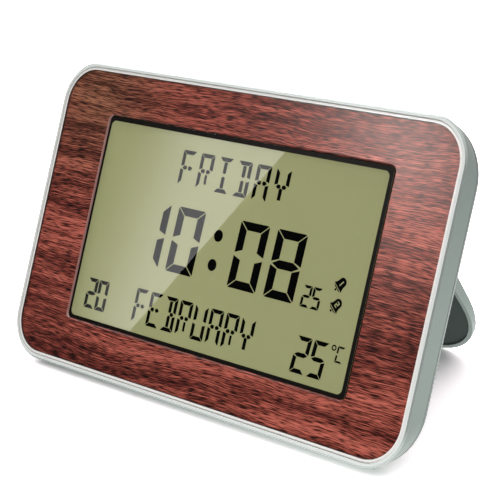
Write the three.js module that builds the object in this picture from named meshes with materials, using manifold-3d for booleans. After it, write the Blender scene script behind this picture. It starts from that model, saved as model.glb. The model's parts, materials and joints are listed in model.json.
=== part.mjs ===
// Desk clock with a calendar display, a wood front and a stand leaf folded out behind it.
// Millimetres. The clock is drawn upright: x to the right, y back from the front face, z up.
// At the end it leans back on its stand, and its origin is on the desk under its middle.
import * as THREE from "three";
import { mergeVertices } from "three/addons/utils/BufferGeometryUtils.js";
import Module from "manifold-3d";

const wasm = await Module();
wasm.setup();

// General sizes
const fitGap = 0.3; // between a piece and its seat
const cutOverrun = 1; // how far a cutter runs past what it cuts
const mergeDistance = 0.0001;

// Front housing
const frontWidth = 220;
const frontHeight = 130;
const frontCornerRadius = 18;
const bodyCornerRadius = 24; // at the back of the side band
const housingWall = 2;
const bandDepth = 8.5;
const lipWidth = 1.75;
const lipBevel = 0.7;
const trimRecess = 0.4;
const trimWidth = 1.05;
const trimBevel = 0.35;
const webThickness = 1.6;

// Wood panel and window
const woodRecess = 1;
const woodThickness = 1.6;
const windowBevel = 0.6;
const windowCornerRadius = 2.2;
const windowCornerSteps = 4;
const windowMarginX = 33.5; // from the edge of the case to what shows of the display
const windowMarginZ = 22.9;
const lensBorder = 1.7; // printed, around what shows of the display
const lensRecess = 0.4;
const lensFlangeWidth = 1.7;
const lensFlangeThickness = 0.6;

// Display behind the window
const gasketThickness = 0.4;
const gasketMargin = 0.4;
const gasketInset = 0.5;
const glassMarginX = 3.5; // display glass beyond what shows of it
const glassMarginZ = 3.9;
const glassCornerRadius = 0.8;
const glassThickness = 1.3;
const contactLedge = 6;
const reflectorThickness = 0.3;
const reflectorInset = 1;
const holderThickness = 1;
const holderWall = 1.2;
const holderMarginX = 8.2;
const holderMarginZ = 6;
const holderCornerRadius = 2.5;
const zebraInset = 8; // from the ends of the display glass
const zebraHeight = 3;

// Posts and screws that hold the display and the board
const postInset = 3.2;
const postRadius = 2.6;
const smallScrewHeadRadius = 2.1;
const smallScrewHeadHeight = 1.4;
const smallScrewShankRadius = 0.9;
const smallScrewGrip = 2.4; // how far the shank goes into its post

// Circuit board and what is soldered to it
const boardThickness = 1.6;
const boardHeightShare = 0.423; // of the holder's height
const chipX = -18;
const chipBelowTop = 27;
const chipRadius = 8;
const chipHeight = 2.2;
const crystalX = -36;
const crystalRadius = 1;
const crystalLength = 6;
const capacitorX = 22;
const capacitorGap = 2.2; // below the hinge trough
const capacitorRadius = 2.5;
const capacitorHeight = 7;
const sensorInset = 4;
const sensorBelowTop = 32;
const sensorBeadRadius = 1.4;
const sensorLeadLength = 4;
const sensorLeadWidth = 1.6;
const sensorLeadThickness = 0.5;
const switchSize = 6;
const switchHeight = 3.4;
const plungerRadius = 1.6;
const plungerHeight = 1;

// Buttons in a row above the stand
const buttonNames = ["mode", "set", "down", "up", "alarm"];
const buttonPitch = 24;
const buttonBelowTop = 11; // from the top of the cover's raised middle
const buttonLength = 15;
const buttonHeight = 6.6;
const buttonStandout = 1.2;
const buttonBevel = 0.5;
const buttonTravel = 0.6;
const buttonFlangeWidth = 1.4;
const buttonFlangeThickness = 1;
const buttonStemSize = 4;

// Rear cover
const shoulderDepth = 3;
const shoulderRadius = 2.7;
const plateauInset = 10;
const plateauCornerRadius = 14;
const plateauEdgeRadius = 2.6;
const coverLipDepth = 2.4;
const coverLipThickness = 1.5;
const coverScrewInsetX = 7;
const coverScrewInsetZ = 7;
const bossRadius = 3.5;
const tubeRadius = 4.5;
const tubeFloor = 2;
const counterboreRadius = 3.3;
const screwHeadRadius = 2.7;
const screwHeadHeight = 2;
const screwShankRadius = 1.3;
const screwGrip = 5; // shank below its head's seat
const ventCount = 6;
const ventLength = 9;
const ventWidth = 1.4;
const ventPitch = 3.4;
const ventZShare = -0.036; // of the raised middle's height, from the middle

// Battery box: two AAA cells lie side by side across the clock
const cellRadius = 5.25;
const cellLength = 44.5;
const cellNubRadius = 1.9;
const cellNubLength = 1;
const cellPitch = 11.5;
const cellSideGap = 0.6;
const boxAboveBottom = 29; // from the bottom of the cover's raised middle
const boxWall = 1.4;
const boxFloor = 1.2;
const contactThickness = 0.4;
const contactSize = 8.4;
const contactTailHeight = 3;
const contactTailWidth = 0.6;
const contactTailReach = 1.4;
const springLength = 6;
const springTurns = 4;
const springWireRadius = 0.35;
const springWideRadius = 3.4;
const springNarrowRadius = 2.4;
const doorThickness = 1.6;
const doorMarginX = 3.6;
const doorMarginZ = 3.4;
const doorCornerRadius = 2.5;
const doorBevel = 0.4;
const doorLedge = 1.2;
const doorLedgeThickness = 1.8;
const gripRadius = 7;
const gripDepth = 1.1;
const wireRadius = 0.6;

// Alarm buzzer
const buzzerShare = 0.3294; // of the way from the battery door to the side of the raised middle
const buzzerRadius = 15;
const buzzerThickness = 0.5;
const buzzerRingHeight = 3;
const buzzerRingWall = 1.5;
const soundHoleRadius = 0.9;
const soundHoleCircle = 6;
const soundHoleCount = 6;

// Stand leaf and its hinge
const leafSideInset = 24.4; // from the side of the cover's raised middle
const leafFootInset = 5.3; // folded, from its foot to the bottom edge of the case
const leafHeel = 5.5; // above the hinge axis
const leafTopRadius = 3;
const leafFootRadius = 37.5;
const leafThicknessTop = 6.8;
const leafThicknessFoot = 2.6;
const leafEdgeRadius = 1.4;
const leafRim = 1.8;
const leafWall = 1.2;
const leafHollowTop = 7;
const innerPanelThickness = 0.6;
const hingeBelowTop = 27.9; // from the top of the cover's raised middle
const hingeOffset = 3; // from the leaf's front plane to the hinge axis
const standOpenDegrees = 57.3;
const hingePinRadius = 1.2;
const hingePinDepth = 8;
const hingeSideGap = 0.5;
const earWidth = 5;
const earRadius = 3;
const troughBelow = 2.4;
const troughAbove = 6.8;

// Where the clock meets the desk
const heelCut = 0.5; // off the round lower rear edge of the shell
const footCut = 0.6; // off the sharp front edge of the leaf's foot

// Depths, counted back from the front lip
const woodFront = woodRecess;
const woodRear = woodFront + woodThickness;
const webFront = woodRear + fitGap;
const webRear = webFront + webThickness;
const lensFront = woodFront + lensRecess;
const lensRear = webFront + lensFlangeThickness;
const gasketFront = lensRear + fitGap;
const gasketRear = gasketFront + gasketThickness;
const glassFront = gasketRear + fitGap;
const ledgeRear = glassFront + glassThickness;
const glassRear = ledgeRear + glassThickness;
const reflectorFront = glassRear + fitGap;
const reflectorRear = reflectorFront + reflectorThickness;
const holderFront = reflectorRear + fitGap;
const holderRear = holderFront + holderThickness;
const boardFront = holderRear + fitGap;
const boardRear = boardFront + boardThickness;
const boxFront = holderRear + fitGap;
const boxFloorRear = boxFront + boxFloor;
const cellFront = boxFloorRear + fitGap;
const cellCentreY = cellFront + cellRadius;
const doorFront = cellCentreY + cellRadius + fitGap;
const doorRear = doorFront + doorThickness;
const coverRear = doorRear;
const coverInside = coverRear - housingWall;
const coverFront = bandDepth + fitGap;
const shoulderRear = bandDepth + shoulderDepth;

// Widths and heights that follow from them
const visibleWidth = frontWidth - 2 * windowMarginX;
const visibleHeight = frontHeight - 2 * windowMarginZ;
const glassWidth = visibleWidth + 2 * glassMarginX;
const glassHeight = visibleHeight + 2 * glassMarginZ;
const zebraLength = glassWidth - 2 * zebraInset;
const trimOuter = lipWidth + fitGap;
const trimInner = trimOuter + trimWidth;
const woodMargin = trimInner + fitGap;
const lensWidth = visibleWidth + 2 * lensBorder;
const lensHeight = visibleHeight + 2 * lensBorder;
const rearGlassHeight = glassHeight - contactLedge;
const rearGlassZ = -contactLedge / 2;
const holderWidth = glassWidth + 2 * holderMarginX;
const holderHeight = glassHeight + 2 * holderMarginZ;
const postX = holderWidth / 2 - postInset;
const postZ = holderHeight / 2 - postInset;
const postEnd = holderFront - fitGap;
const boardTop = holderHeight / 2;
const boardBottom = boardTop - boardHeightShare * holderHeight;
const plateauWidth = frontWidth - 2 * plateauInset;
const plateauHeight = frontHeight - 2 * plateauInset;
const buttonZ = plateauHeight / 2 - buttonBelowTop;
const hingeZ = plateauHeight / 2 - hingeBelowTop;
const boxCentreZ = -plateauHeight / 2 + boxAboveBottom;
const ventZ = ventZShare * plateauHeight;
const chipZ = boardTop - chipBelowTop;
const sensorZ = boardTop - sensorBelowTop;
const capacitorZ = hingeZ - troughBelow - housingWall - capacitorGap - capacitorRadius;
const leafHalfWidth = plateauWidth / 2 - leafSideInset;
const leafLength = hingeZ + frontHeight / 2 - leafFootInset; // from the hinge axis to the foot
const coverScrewX = plateauWidth / 2 - coverScrewInsetX;
const coverScrewZ = plateauHeight / 2 - coverScrewInsetZ;
const bossEnd = shoulderRear - housingWall - fitGap;
const tubeFront = bossEnd + fitGap;
const boxInnerLength = cellLength + springLength + 2 * contactThickness + 5 * fitGap;
const boxInnerHeight = 2 * cellRadius + cellPitch + 2 * cellSideGap;
const doorWidth = boxInnerLength + 2 * boxWall + 2 * doorMarginX;
const doorHeight = boxInnerHeight + 2 * boxWall + 2 * doorMarginZ;
const doorHingeZ = boxCentreZ - doorHeight / 2;
const buzzerX = doorWidth / 2 + buzzerShare * (plateauWidth / 2 - doorWidth / 2);
const buzzerZ = boxCentreZ;
const standOpen = THREE.MathUtils.degToRad(standOpenDegrees);
const hingeY = coverRear + fitGap + hingeOffset;
const heelReach = hingeOffset * Math.cos(standOpen) + leafHeel * Math.sin(standOpen);
const troughFloor = hingeY - heelReach - fitGap;
const troughHalfWidth = leafHalfWidth + hingeSideGap;
const insideEdge = frontWidth + frontHeight; // longer than any piece, for cutters

const finish = (color, roughness, metalness) => ({ color, roughness, metalness });
const finishes = {
  silver: finish(0x9ea8a2, 0.42, 0.35),
  brightRim: finish(0xf4f4f0, 0.18, 0.85),
  wood: finish(0x82413c, 0.5, 0),
  clear: finish(0xdfe8dc, 0.05, 0),
  black: finish(0x17181a, 0.6, 0),
  display: finish(0x9b9b70, 0.35, 0),
  reflector: finish(0xc9cbc0, 0.4, 0.4),
  whitePlastic: finish(0xd8d8d2, 0.6, 0),
  zebra: finish(0x3a3b40, 0.8, 0),
  board: finish(0x1f5a36, 0.5, 0),
  steel: finish(0xb4b6b8, 0.3, 0.9),
  brass: finish(0xc7a253, 0.35, 0.8),
  darkPlastic: finish(0x3a423f, 0.6, 0),
  buttonGrey: finish(0x6d7471, 0.55, 0),
  cell: finish(0x2f5f9e, 0.4, 0.2),
  redWire: finish(0xb3261e, 0.5, 0),
  blackWire: finish(0x202022, 0.5, 0),
};

// Solids from three.js geometry, and meshes from solids
function solid(geometry) {
  const bare = geometry.clone();
  bare.deleteAttribute("normal");
  bare.deleteAttribute("uv");
  const merged = mergeVertices(bare, mergeDistance);
  return new wasm.Manifold(
    new wasm.Mesh({
      numProp: 3,
      vertProperties: new Float32Array(merged.attributes.position.array),
      triVerts: new Uint32Array(merged.index.array),
    }),
  );
}

const join = (first, ...others) => others.reduce((whole, piece) => whole.add(piece), first);
const cut = (first, ...others) => others.reduce((whole, piece) => whole.subtract(piece), first);

function meshOf(name, body, look) {
  const made = body.getMesh();
  const geometry = new THREE.BufferGeometry();
  geometry.setAttribute("position", new THREE.BufferAttribute(made.vertProperties, 3));
  geometry.setIndex(new THREE.BufferAttribute(made.triVerts, 1));
  geometry.computeVertexNormals();
  const mesh = new THREE.Mesh(geometry, new THREE.MeshStandardMaterial(look));
  mesh.name = name;
  return mesh;
}

// A rectangle with round corners, centred on x and z
function roundedRect(width, height, radius, centreX = 0, centreZ = 0) {
  const right = centreX + width / 2;
  const left = centreX - width / 2;
  const top = centreZ + height / 2;
  const bottom = centreZ - height / 2;
  const quarter = Math.PI / 2;
  const shape = new THREE.Shape();
  shape.moveTo(left + radius, bottom);
  shape.lineTo(right - radius, bottom);
  shape.absarc(right - radius, bottom + radius, radius, -quarter, 0, false);
  shape.lineTo(right, top - radius);
  shape.absarc(right - radius, top - radius, radius, 0, quarter, false);
  shape.lineTo(left + radius, top);
  shape.absarc(left + radius, top - radius, radius, quarter, 2 * quarter, false);
  shape.lineTo(left, bottom + radius);
  shape.absarc(left + radius, bottom + radius, radius, 2 * quarter, 3 * quarter, false);
  return shape;
}

// An outline in x and z, made solid from one depth to another
function slab(shape, front, rear, steps = 4) {
  const geometry = new THREE.ExtrudeGeometry(shape, {
    depth: rear - front,
    bevelEnabled: false,
    curveSegments: steps,
  });
  return geometry.rotateX(Math.PI / 2).translate(0, rear, 0);
}

const plate = (shape, front, rear, steps) => solid(slab(shape, front, rear, steps));

// The same with both rims rounded or bevelled inside the outline
function rimmedPlate(shape, front, rear, edge, edgeSteps, steps = 4) {
  const geometry = new THREE.ExtrudeGeometry(shape, {
    depth: rear - front - 2 * edge,
    bevelThickness: edge,
    bevelSize: edge,
    bevelOffset: -edge,
    bevelSegments: edgeSteps,
    curveSegments: steps,
  });
  return solid(geometry.rotateX(Math.PI / 2).translate(0, rear - edge, 0));
}

function block(x0, x1, y0, y1, z0, z1) {
  const geometry = new THREE.BoxGeometry(x1 - x0, y1 - y0, z1 - z0);
  return solid(geometry.translate((x0 + x1) / 2, (y0 + y1) / 2, (z0 + z1) / 2));
}

const inFrontOf = (y) => block(-insideEdge, insideEdge, -insideEdge, y, -insideEdge, insideEdge);
const behind = (y) => block(-insideEdge, insideEdge, y, insideEdge, -insideEdge, insideEdge);

// A round bar along the depth, and one along the width
function barY(x, z, radius, y0, y1, sides = 16) {
  const geometry = new THREE.CylinderGeometry(radius, radius, y1 - y0, sides);
  return solid(geometry.translate(x, (y0 + y1) / 2, z));
}

function barX(x0, x1, y, z, radius, sides = 16) {
  const geometry = new THREE.CylinderGeometry(radius, radius, x1 - x0, sides);
  return solid(geometry.rotateZ(Math.PI / 2).translate((x0 + x1) / 2, y, z));
}

const fourCorners = (x, z) => [
  [-x, z],
  [x, z],
  [-x, -z],
  [x, -z],
];

const frontOutline = (inset) =>
  roundedRect(frontWidth - 2 * inset, frontHeight - 2 * inset, frontCornerRadius - inset);

const bodyOutline = (inset) =>
  roundedRect(frontWidth - 2 * inset, frontHeight - 2 * inset, bodyCornerRadius - inset);

const windowOutline = (grow = 0) =>
  roundedRect(lensWidth + 2 * grow, lensHeight + 2 * grow, windowCornerRadius + grow);

const glassOutline = (grow = 0) =>
  roundedRect(glassWidth + 2 * grow, glassHeight + 2 * grow, glassCornerRadius + grow);

// Front housing: side band with corners that grow rounder towards the back, angled lip,
// web behind the wood, posts and screw bosses
function makeCaseFrame() {
  const band = wasm.Manifold.hull([
    rimmedPlate(frontOutline(0), 0, 2 * lipBevel, lipBevel, 1, 6),
    plate(bodyOutline(0), bandDepth - lipBevel, bandDepth, 6),
  ]);
  const shell = cut(
    band,
    plate(frontOutline(lipWidth), -cutOverrun, webFront, 6),
    plate(bodyOutline(housingWall), webRear, bandDepth + cutOverrun, 6),
    plate(glassOutline(fitGap), 0, bandDepth, 1),
  );
  const rootY = webFront + webThickness / 2;
  const posts = fourCorners(postX, postZ).map(([x, z]) => barY(x, z, postRadius, rootY, postEnd));
  const bosses = fourCorners(coverScrewX, coverScrewZ).map(([x, z]) =>
    barY(x, z, bossRadius, rootY, bossEnd),
  );
  const postBores = fourCorners(postX, postZ).map(([x, z]) =>
    barY(x, z, smallScrewShankRadius + fitGap, rootY, postEnd + cutOverrun, 10),
  );
  const bossBores = fourCorners(coverScrewX, coverScrewZ).map(([x, z]) =>
    barY(x, z, screwShankRadius + fitGap, webRear, bossEnd + cutOverrun, 12),
  );
  return meshOf(
    "case_frame",
    cut(join(shell, ...posts, ...bosses), ...postBores, ...bossBores, solid(belowDesk())),
    finishes.silver,
  );
}

function makeTrimRing() {
  const ring = cut(
    rimmedPlate(frontOutline(trimOuter), trimRecess, woodRear + trimBevel + cutOverrun, trimBevel, 1, 6),
    behind(woodRear),
    plate(frontOutline(trimInner), -cutOverrun, woodRear + cutOverrun, 6),
  );
  return meshOf("trim_ring", ring, finishes.brightRim);
}

function makeWoodPanel() {
  const opening = windowOutline(fitGap);
  const bevelCutter = rimmedPlate(
    windowOutline(fitGap + windowBevel),
    woodFront - windowBevel - cutOverrun,
    woodFront + windowBevel,
    windowBevel,
    1,
    windowCornerSteps,
  );
  const panel = cut(
    plate(frontOutline(woodMargin), woodFront, woodRear, 6),
    plate(opening, 0, woodRear + cutOverrun, windowCornerSteps),
    bevelCutter,
  );
  return meshOf("wood_panel", panel, finishes.wood);
}

function makeDisplayStack() {
  const lens = join(
    plate(windowOutline(), lensFront, lensRear, windowCornerSteps),
    plate(windowOutline(lensFlangeWidth), webFront, lensRear, windowCornerSteps),
  );
  const gasket = cut(
    plate(glassOutline(-gasketInset), gasketFront, gasketRear, 1),
    plate(windowOutline(gasketMargin), 0, gasketRear + cutOverrun, windowCornerSteps),
  );
  const rearGlass = roundedRect(glassWidth, rearGlassHeight, glassCornerRadius, 0, rearGlassZ);
  const glass = join(
    plate(glassOutline(), glassFront, ledgeRear, 1),
    plate(rearGlass, glassFront, glassRear, 1),
  );
  const reflectorOutline = roundedRect(
    glassWidth - 2 * reflectorInset,
    rearGlassHeight - 2 * reflectorInset,
    glassCornerRadius,
    0,
    rearGlassZ,
  );
  return [
    meshOf("display_lens", lens, finishes.clear),
    meshOf("display_gasket", gasket, finishes.black),
    meshOf("lcd_panel", glass, finishes.display),
    meshOf("lcd_reflector", plate(reflectorOutline, reflectorFront, reflectorRear, 1), finishes.reflector),
  ];
}

const zebraZ = glassHeight / 2 - contactLedge / 2;

function makeHolder() {
  const holderOutline = roundedRect(holderWidth, holderHeight, holderCornerRadius);
  const body = join(
    plate(holderOutline, holderFront, holderRear, 2),
    cut(
      plate(glassOutline(fitGap + holderWall), webRear + fitGap, holderRear, 1),
      plate(glassOutline(fitGap), 0, holderFront, 1),
    ),
  );
  const holes = fourCorners(postX, postZ).map(([x, z]) =>
    barY(x, z, smallScrewShankRadius + fitGap, holderFront - cutOverrun, holderRear + cutOverrun, 10),
  );
  const zebraSlot = block(
    -zebraLength / 2 - fitGap,
    zebraLength / 2 + fitGap,
    reflectorRear,
    holderRear + cutOverrun,
    zebraZ - zebraHeight / 2 - fitGap,
    zebraZ + zebraHeight / 2 + fitGap,
  );
  return meshOf("lcd_holder", cut(body, zebraSlot, ...holes), finishes.whitePlastic);
}

function makeZebra() {
  const strip = block(
    -zebraLength / 2,
    zebraLength / 2,
    ledgeRear + fitGap,
    boardFront - fitGap,
    zebraZ - zebraHeight / 2,
    zebraZ + zebraHeight / 2,
  );
  return meshOf("zebra_connector", strip, finishes.zebra);
}

// The two upper screws hold the board and the holder, the lower two the holder alone
function makeHolderScrews() {
  return fourCorners(postX, postZ).map(([x, z], index) => {
    const seat = (z > 0 ? boardRear : holderRear) + fitGap;
    const screw = join(
      barY(x, z, smallScrewHeadRadius, seat, seat + smallScrewHeadHeight, 12),
      barY(x, z, smallScrewShankRadius, postEnd - smallScrewGrip, seat + smallScrewHeadHeight / 2, 10),
    );
    return meshOf(`holder_screw_${index + 1}`, screw, finishes.steel);
  });
}

function makeBoard() {
  const outline = roundedRect(
    holderWidth,
    boardTop - boardBottom,
    holderCornerRadius,
    0,
    (boardTop + boardBottom) / 2,
  );
  const holes = [-postX, postX].map((x) =>
    barY(x, postZ, smallScrewShankRadius + fitGap, boardFront - cutOverrun, boardRear + cutOverrun, 10),
  );
  return meshOf("main_board", cut(plate(outline, boardFront, boardRear, 2), ...holes), finishes.board);
}

const onBoard = boardRear + fitGap;

function makeBoardParts() {
  const domeSteps = 5;
  const profile = [new THREE.Vector2(0, 0)];
  for (let step = 0; step <= domeSteps; step += 1) {
    const turn = ((Math.PI / 2) * step) / domeSteps;
    const across = step === domeSteps ? 0 : chipRadius * Math.cos(turn);
    profile.push(new THREE.Vector2(across, chipHeight * Math.sin(turn)));
  }
  const chip = solid(new THREE.LatheGeometry(profile, 16).translate(chipX, onBoard, chipZ));
  const crystalY = onBoard + crystalRadius;
  const crystalEnd = crystalX + crystalLength;
  const sensorX = -holderWidth / 2 + sensorInset;
  const leadTop = onBoard + sensorLeadLength;
  const bead = new THREE.SphereGeometry(sensorBeadRadius, 8, 6).translate(sensorX, leadTop, sensorZ);
  const sensor = join(
    solid(bead),
    block(
      sensorX - sensorLeadWidth / 2,
      sensorX + sensorLeadWidth / 2,
      onBoard,
      leadTop,
      sensorZ - sensorLeadThickness / 2,
      sensorZ + sensorLeadThickness / 2,
    ),
  );
  return [
    meshOf("glob_top_chip", chip, finishes.black),
    meshOf("quartz_crystal", barX(crystalX, crystalEnd, crystalY, chipZ, crystalRadius, 12), finishes.steel),
    meshOf(
      "capacitor",
      barY(capacitorX, capacitorZ, capacitorRadius, onBoard, onBoard + capacitorHeight, 20),
      finishes.blackWire,
    ),
    meshOf("temperature_sensor", sensor, finishes.black),
  ];
}

const buttonX = (index) => (index - (buttonNames.length - 1) / 2) * buttonPitch;
const switchTop = onBoard + switchHeight + plungerHeight;

function makeSwitch(name, index) {
  const x = buttonX(index);
  const half = switchSize / 2;
  const body = join(
    block(x - half, x + half, onBoard, onBoard + switchHeight, buttonZ - half, buttonZ + half),
    barY(x, buttonZ, plungerRadius, onBoard + switchHeight / 2, switchTop, 12),
  );
  return meshOf(`switch_${name}`, body, finishes.black);
}

const pill = (x, grow) =>
  roundedRect(buttonLength + 2 * grow, buttonHeight + 2 * grow, buttonHeight / 2 + grow, x, buttonZ);

function makeButton(name, index) {
  const x = buttonX(index);
  const half = buttonStemSize / 2;
  const flangeRear = coverInside - fitGap;
  const flangeFront = flangeRear - buttonFlangeThickness;
  const body = join(
    cut(
      rimmedPlate(pill(x, 0), flangeFront - buttonBevel, coverRear + buttonStandout, buttonBevel, 1, 3),
      inFrontOf(flangeFront),
    ),
    plate(pill(x, buttonFlangeWidth), flangeFront, flangeRear, 3),
    block(x - half, x + half, switchTop + buttonTravel + fitGap, flangeRear, buttonZ - half, buttonZ + half),
  );
  return meshOf(`button_${name}`, body, finishes.buttonGrey);
}

const boxOutline = (grow) =>
  roundedRect(
    boxInnerLength + 2 * grow,
    boxInnerHeight + 2 * grow,
    doorCornerRadius,
    0,
    boxCentreZ,
  );

const doorOutline = (grow) =>
  roundedRect(doorWidth + 2 * grow, doorHeight + 2 * grow, doorCornerRadius + grow, 0, boxCentreZ);

const tailReach = boxInnerLength / 2 + boxWall + contactTailReach;
const cellZ = (index) => boxCentreZ + (index === 0 ? cellPitch / 2 : -cellPitch / 2);

function contactTail(z, grow) {
  return block(
    -tailReach - grow,
    -boxInnerLength / 2 + fitGap + contactThickness + grow,
    cellCentreY - contactTailHeight / 2 - grow,
    cellCentreY + contactTailHeight / 2 + grow,
    z - contactTailWidth / 2 - grow,
    z + contactTailWidth / 2 + grow,
  );
}

// A cutter for everything below the desk, in the upright clock's axes
const heelCentreY = shoulderRear - shoulderRadius;
const heelCentreZ = -frontHeight / 2 + shoulderRadius;
const heelHeight = shoulderRadius - heelCut;
const footY = hingeY - hingeOffset * Math.cos(standOpen) + leafLength * Math.sin(standOpen);
const footZ = hingeZ - hingeOffset * Math.sin(standOpen) - leafLength * Math.cos(standOpen);
const baseLength = Math.hypot(footY - heelCentreY, footZ - heelCentreZ);
const baseSlope = Math.atan2(footZ - heelCentreZ, footY - heelCentreY);
const lean = baseSlope + Math.asin((heelHeight + footCut) / baseLength);
const liftZ = heelHeight + heelCentreY * Math.sin(lean) - heelCentreZ * Math.cos(lean);

function belowDesk() {
  const geometry = new THREE.BoxGeometry(2 * insideEdge, 2 * insideEdge, insideEdge);
  return geometry.translate(0, 0, -insideEdge / 2 - liftZ).rotateX(lean);
}

function ear(side) {
  const inner = troughHalfWidth;
  const outer = inner + earWidth;
  const x0 = side > 0 ? inner : -outer;
  const x1 = side > 0 ? outer : -inner;
  return join(
    barX(x0, x1, hingeY, hingeZ, earRadius, 20),
    block(x0, x1, coverInside, hingeY, hingeZ - earRadius, hingeZ + earRadius),
  );
}

// Rear cover: round shoulder, raised middle, hinge trough, battery box, tubes for the screws
function makeRearCover() {
  const plateauOutline = (inset) =>
    roundedRect(plateauWidth - 2 * inset, plateauHeight - 2 * inset, plateauCornerRadius - inset);
  const outside = cut(
    join(
      rimmedPlate(bodyOutline(0), coverFront - shoulderRadius, shoulderRear, shoulderRadius, 3, 6),
      rimmedPlate(plateauOutline(0), coverFront - plateauEdgeRadius, coverRear, plateauEdgeRadius, 3, 4),
    ),
    inFrontOf(coverFront),
  );
  const hollow = join(
    plate(bodyOutline(housingWall), 0, shoulderRear - housingWall, 6),
    plate(plateauOutline(housingWall), 0, coverInside, 4),
  );
  const lip = cut(
    plate(bodyOutline(housingWall + fitGap), bandDepth - coverLipDepth, shoulderRear - housingWall / 2, 6),
    plate(bodyOutline(housingWall + fitGap + coverLipThickness), 0, shoulderRear, 6),
  );
  const troughBlock = block(
    -troughHalfWidth - housingWall,
    troughHalfWidth + housingWall,
    troughFloor - housingWall,
    coverRear - housingWall / 2,
    hingeZ - troughBelow - housingWall,
    hingeZ + troughAbove + housingWall,
  );
  const trough = block(
    -troughHalfWidth,
    troughHalfWidth,
    troughFloor,
    coverRear + cutOverrun,
    hingeZ - troughBelow,
    hingeZ + troughAbove,
  );
  const tubes = fourCorners(coverScrewX, coverScrewZ).map(([x, z]) =>
    barY(x, z, tubeRadius, tubeFront, coverRear - housingWall / 2, 20),
  );
  const counterbores = fourCorners(coverScrewX, coverScrewZ).map(([x, z]) =>
    join(
      barY(x, z, counterboreRadius, tubeFront + tubeFloor, coverRear + cutOverrun, 20),
      barY(x, z, screwShankRadius + fitGap, tubeFront - cutOverrun, tubeFront + 2 * tubeFloor, 12),
    ),
  );
  const doorSeat = doorFront - fitGap;
  const batteryBox = join(
    plate(boxOutline(boxWall), boxFront, coverInside, 2),
    plate(doorOutline(doorLedge), doorSeat - doorLedgeThickness, coverRear - housingWall / 2, 2),
  );
  const batteryHollow = join(
    plate(boxOutline(0), boxFloorRear, coverRear + cutOverrun, 2),
    plate(doorOutline(fitGap), doorSeat, coverRear + cutOverrun, 2),
  );
  const grip = barY(0, boxCentreZ + doorHeight / 2, gripRadius, coverRear - gripDepth, coverRear + cutOverrun, 24);
  const buttonHoles = buttonNames.map((name, index) =>
    plate(pill(buttonX(index), fitGap), coverInside - cutOverrun, coverRear + cutOverrun, 3),
  );
  const ventX = -coverScrewX;
  const vents = Array.from({ length: ventCount }, (_, index) => {
    const z = ventZ + (index - (ventCount - 1) / 2) * ventPitch;
    const outline = roundedRect(ventLength, ventWidth, ventWidth / 2, ventX, z);
    return plate(outline, coverInside - cutOverrun, coverRear + cutOverrun, 1);
  });
  const buzzerRing = cut(
    barY(buzzerX, buzzerZ, buzzerRadius, coverInside - buzzerRingHeight, coverRear - housingWall / 2, 28),
    barY(buzzerX, buzzerZ, buzzerRadius - buzzerRingWall, 0, coverInside, 28),
  );
  const soundHoles = [barY(buzzerX, buzzerZ, soundHoleRadius, coverInside - cutOverrun, coverRear + cutOverrun, 10)];
  for (let hole = 0; hole < soundHoleCount; hole += 1) {
    const turn = (2 * Math.PI * hole) / soundHoleCount;
    const x = buzzerX + soundHoleCircle * Math.cos(turn);
    const z = buzzerZ + soundHoleCircle * Math.sin(turn);
    soundHoles.push(barY(x, z, soundHoleRadius, coverInside - cutOverrun, coverRear + cutOverrun, 10));
  }
  const earEnd = troughHalfWidth + earWidth + cutOverrun;
  const pinBore = barX(-earEnd, earEnd, hingeY, hingeZ, hingePinRadius + fitGap, 16);
  const body = cut(
    join(cut(outside, hollow), lip, troughBlock, ...tubes, batteryBox, buzzerRing, ear(1), ear(-1)),
    trough,
    batteryHollow,
    grip,
    pinBore,
    contactTail(cellZ(0), fitGap),
    contactTail(cellZ(1), fitGap),
    solid(belowDesk()),
    ...counterbores,
    ...buttonHoles,
    ...vents,
    ...soundHoles,
  );
  return meshOf("rear_cover", body, finishes.silver);
}

function makeCoverScrews() {
  return fourCorners(coverScrewX, coverScrewZ).map(([x, z], index) => {
    const seat = tubeFront + tubeFloor + fitGap;
    const screw = join(
      barY(x, z, screwHeadRadius, seat, seat + screwHeadHeight, 16),
      barY(x, z, screwShankRadius, bossEnd - screwGrip + tubeFloor, seat + screwHeadHeight / 2, 12),
    );
    return meshOf(`cover_screw_${index + 1}`, screw, finishes.steel);
  });
}

// The door is held in a group whose origin is on its lower outer edge, where it swings
function makeBatteryDoor() {
  const hinge = new THREE.Group();
  hinge.name = "door_hinge";
  hinge.position.set(0, doorRear, doorHingeZ);
  const body = cut(
    rimmedPlate(doorOutline(0), doorFront - doorBevel, doorRear, doorBevel, 1, 2),
    inFrontOf(doorFront),
  );
  const door = meshOf("battery_door", body, finishes.silver);
  door.geometry.translate(0, -doorRear, -doorHingeZ);
  hinge.add(door);
  return hinge;
}

// Battery box, from the left wall: contact, cell, spring, bridge. The lower cell lies the other way.
const boxLeft = -boxInnerLength / 2;
const leftContactEnd = boxLeft + fitGap + contactThickness;

function makeCell(index) {
  const half = cellLength / 2;
  const profile = [
    [0, -half],
    [cellRadius, -half],
    [cellRadius, half - cellNubLength],
    [cellNubRadius, half - cellNubLength],
    [cellNubRadius, half],
    [0, half],
  ].map(([across, along]) => new THREE.Vector2(across, along));
  const geometry = new THREE.LatheGeometry(profile, 20);
  const towards = index === 0 ? 1 : -1;
  geometry.rotateZ((towards * Math.PI) / 2);
  const centreX = towards * (leftContactEnd + fitGap + half);
  geometry.translate(centreX, cellCentreY, cellZ(index));
  return meshOf(`cell_${index + 1}`, solid(geometry), finishes.cell);
}

function contactPlate(x0, z, halfHeight) {
  const half = contactSize / 2;
  return block(x0, x0 + contactThickness, cellCentreY - half, cellCentreY + half, z - halfHeight, z + halfHeight);
}

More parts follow.
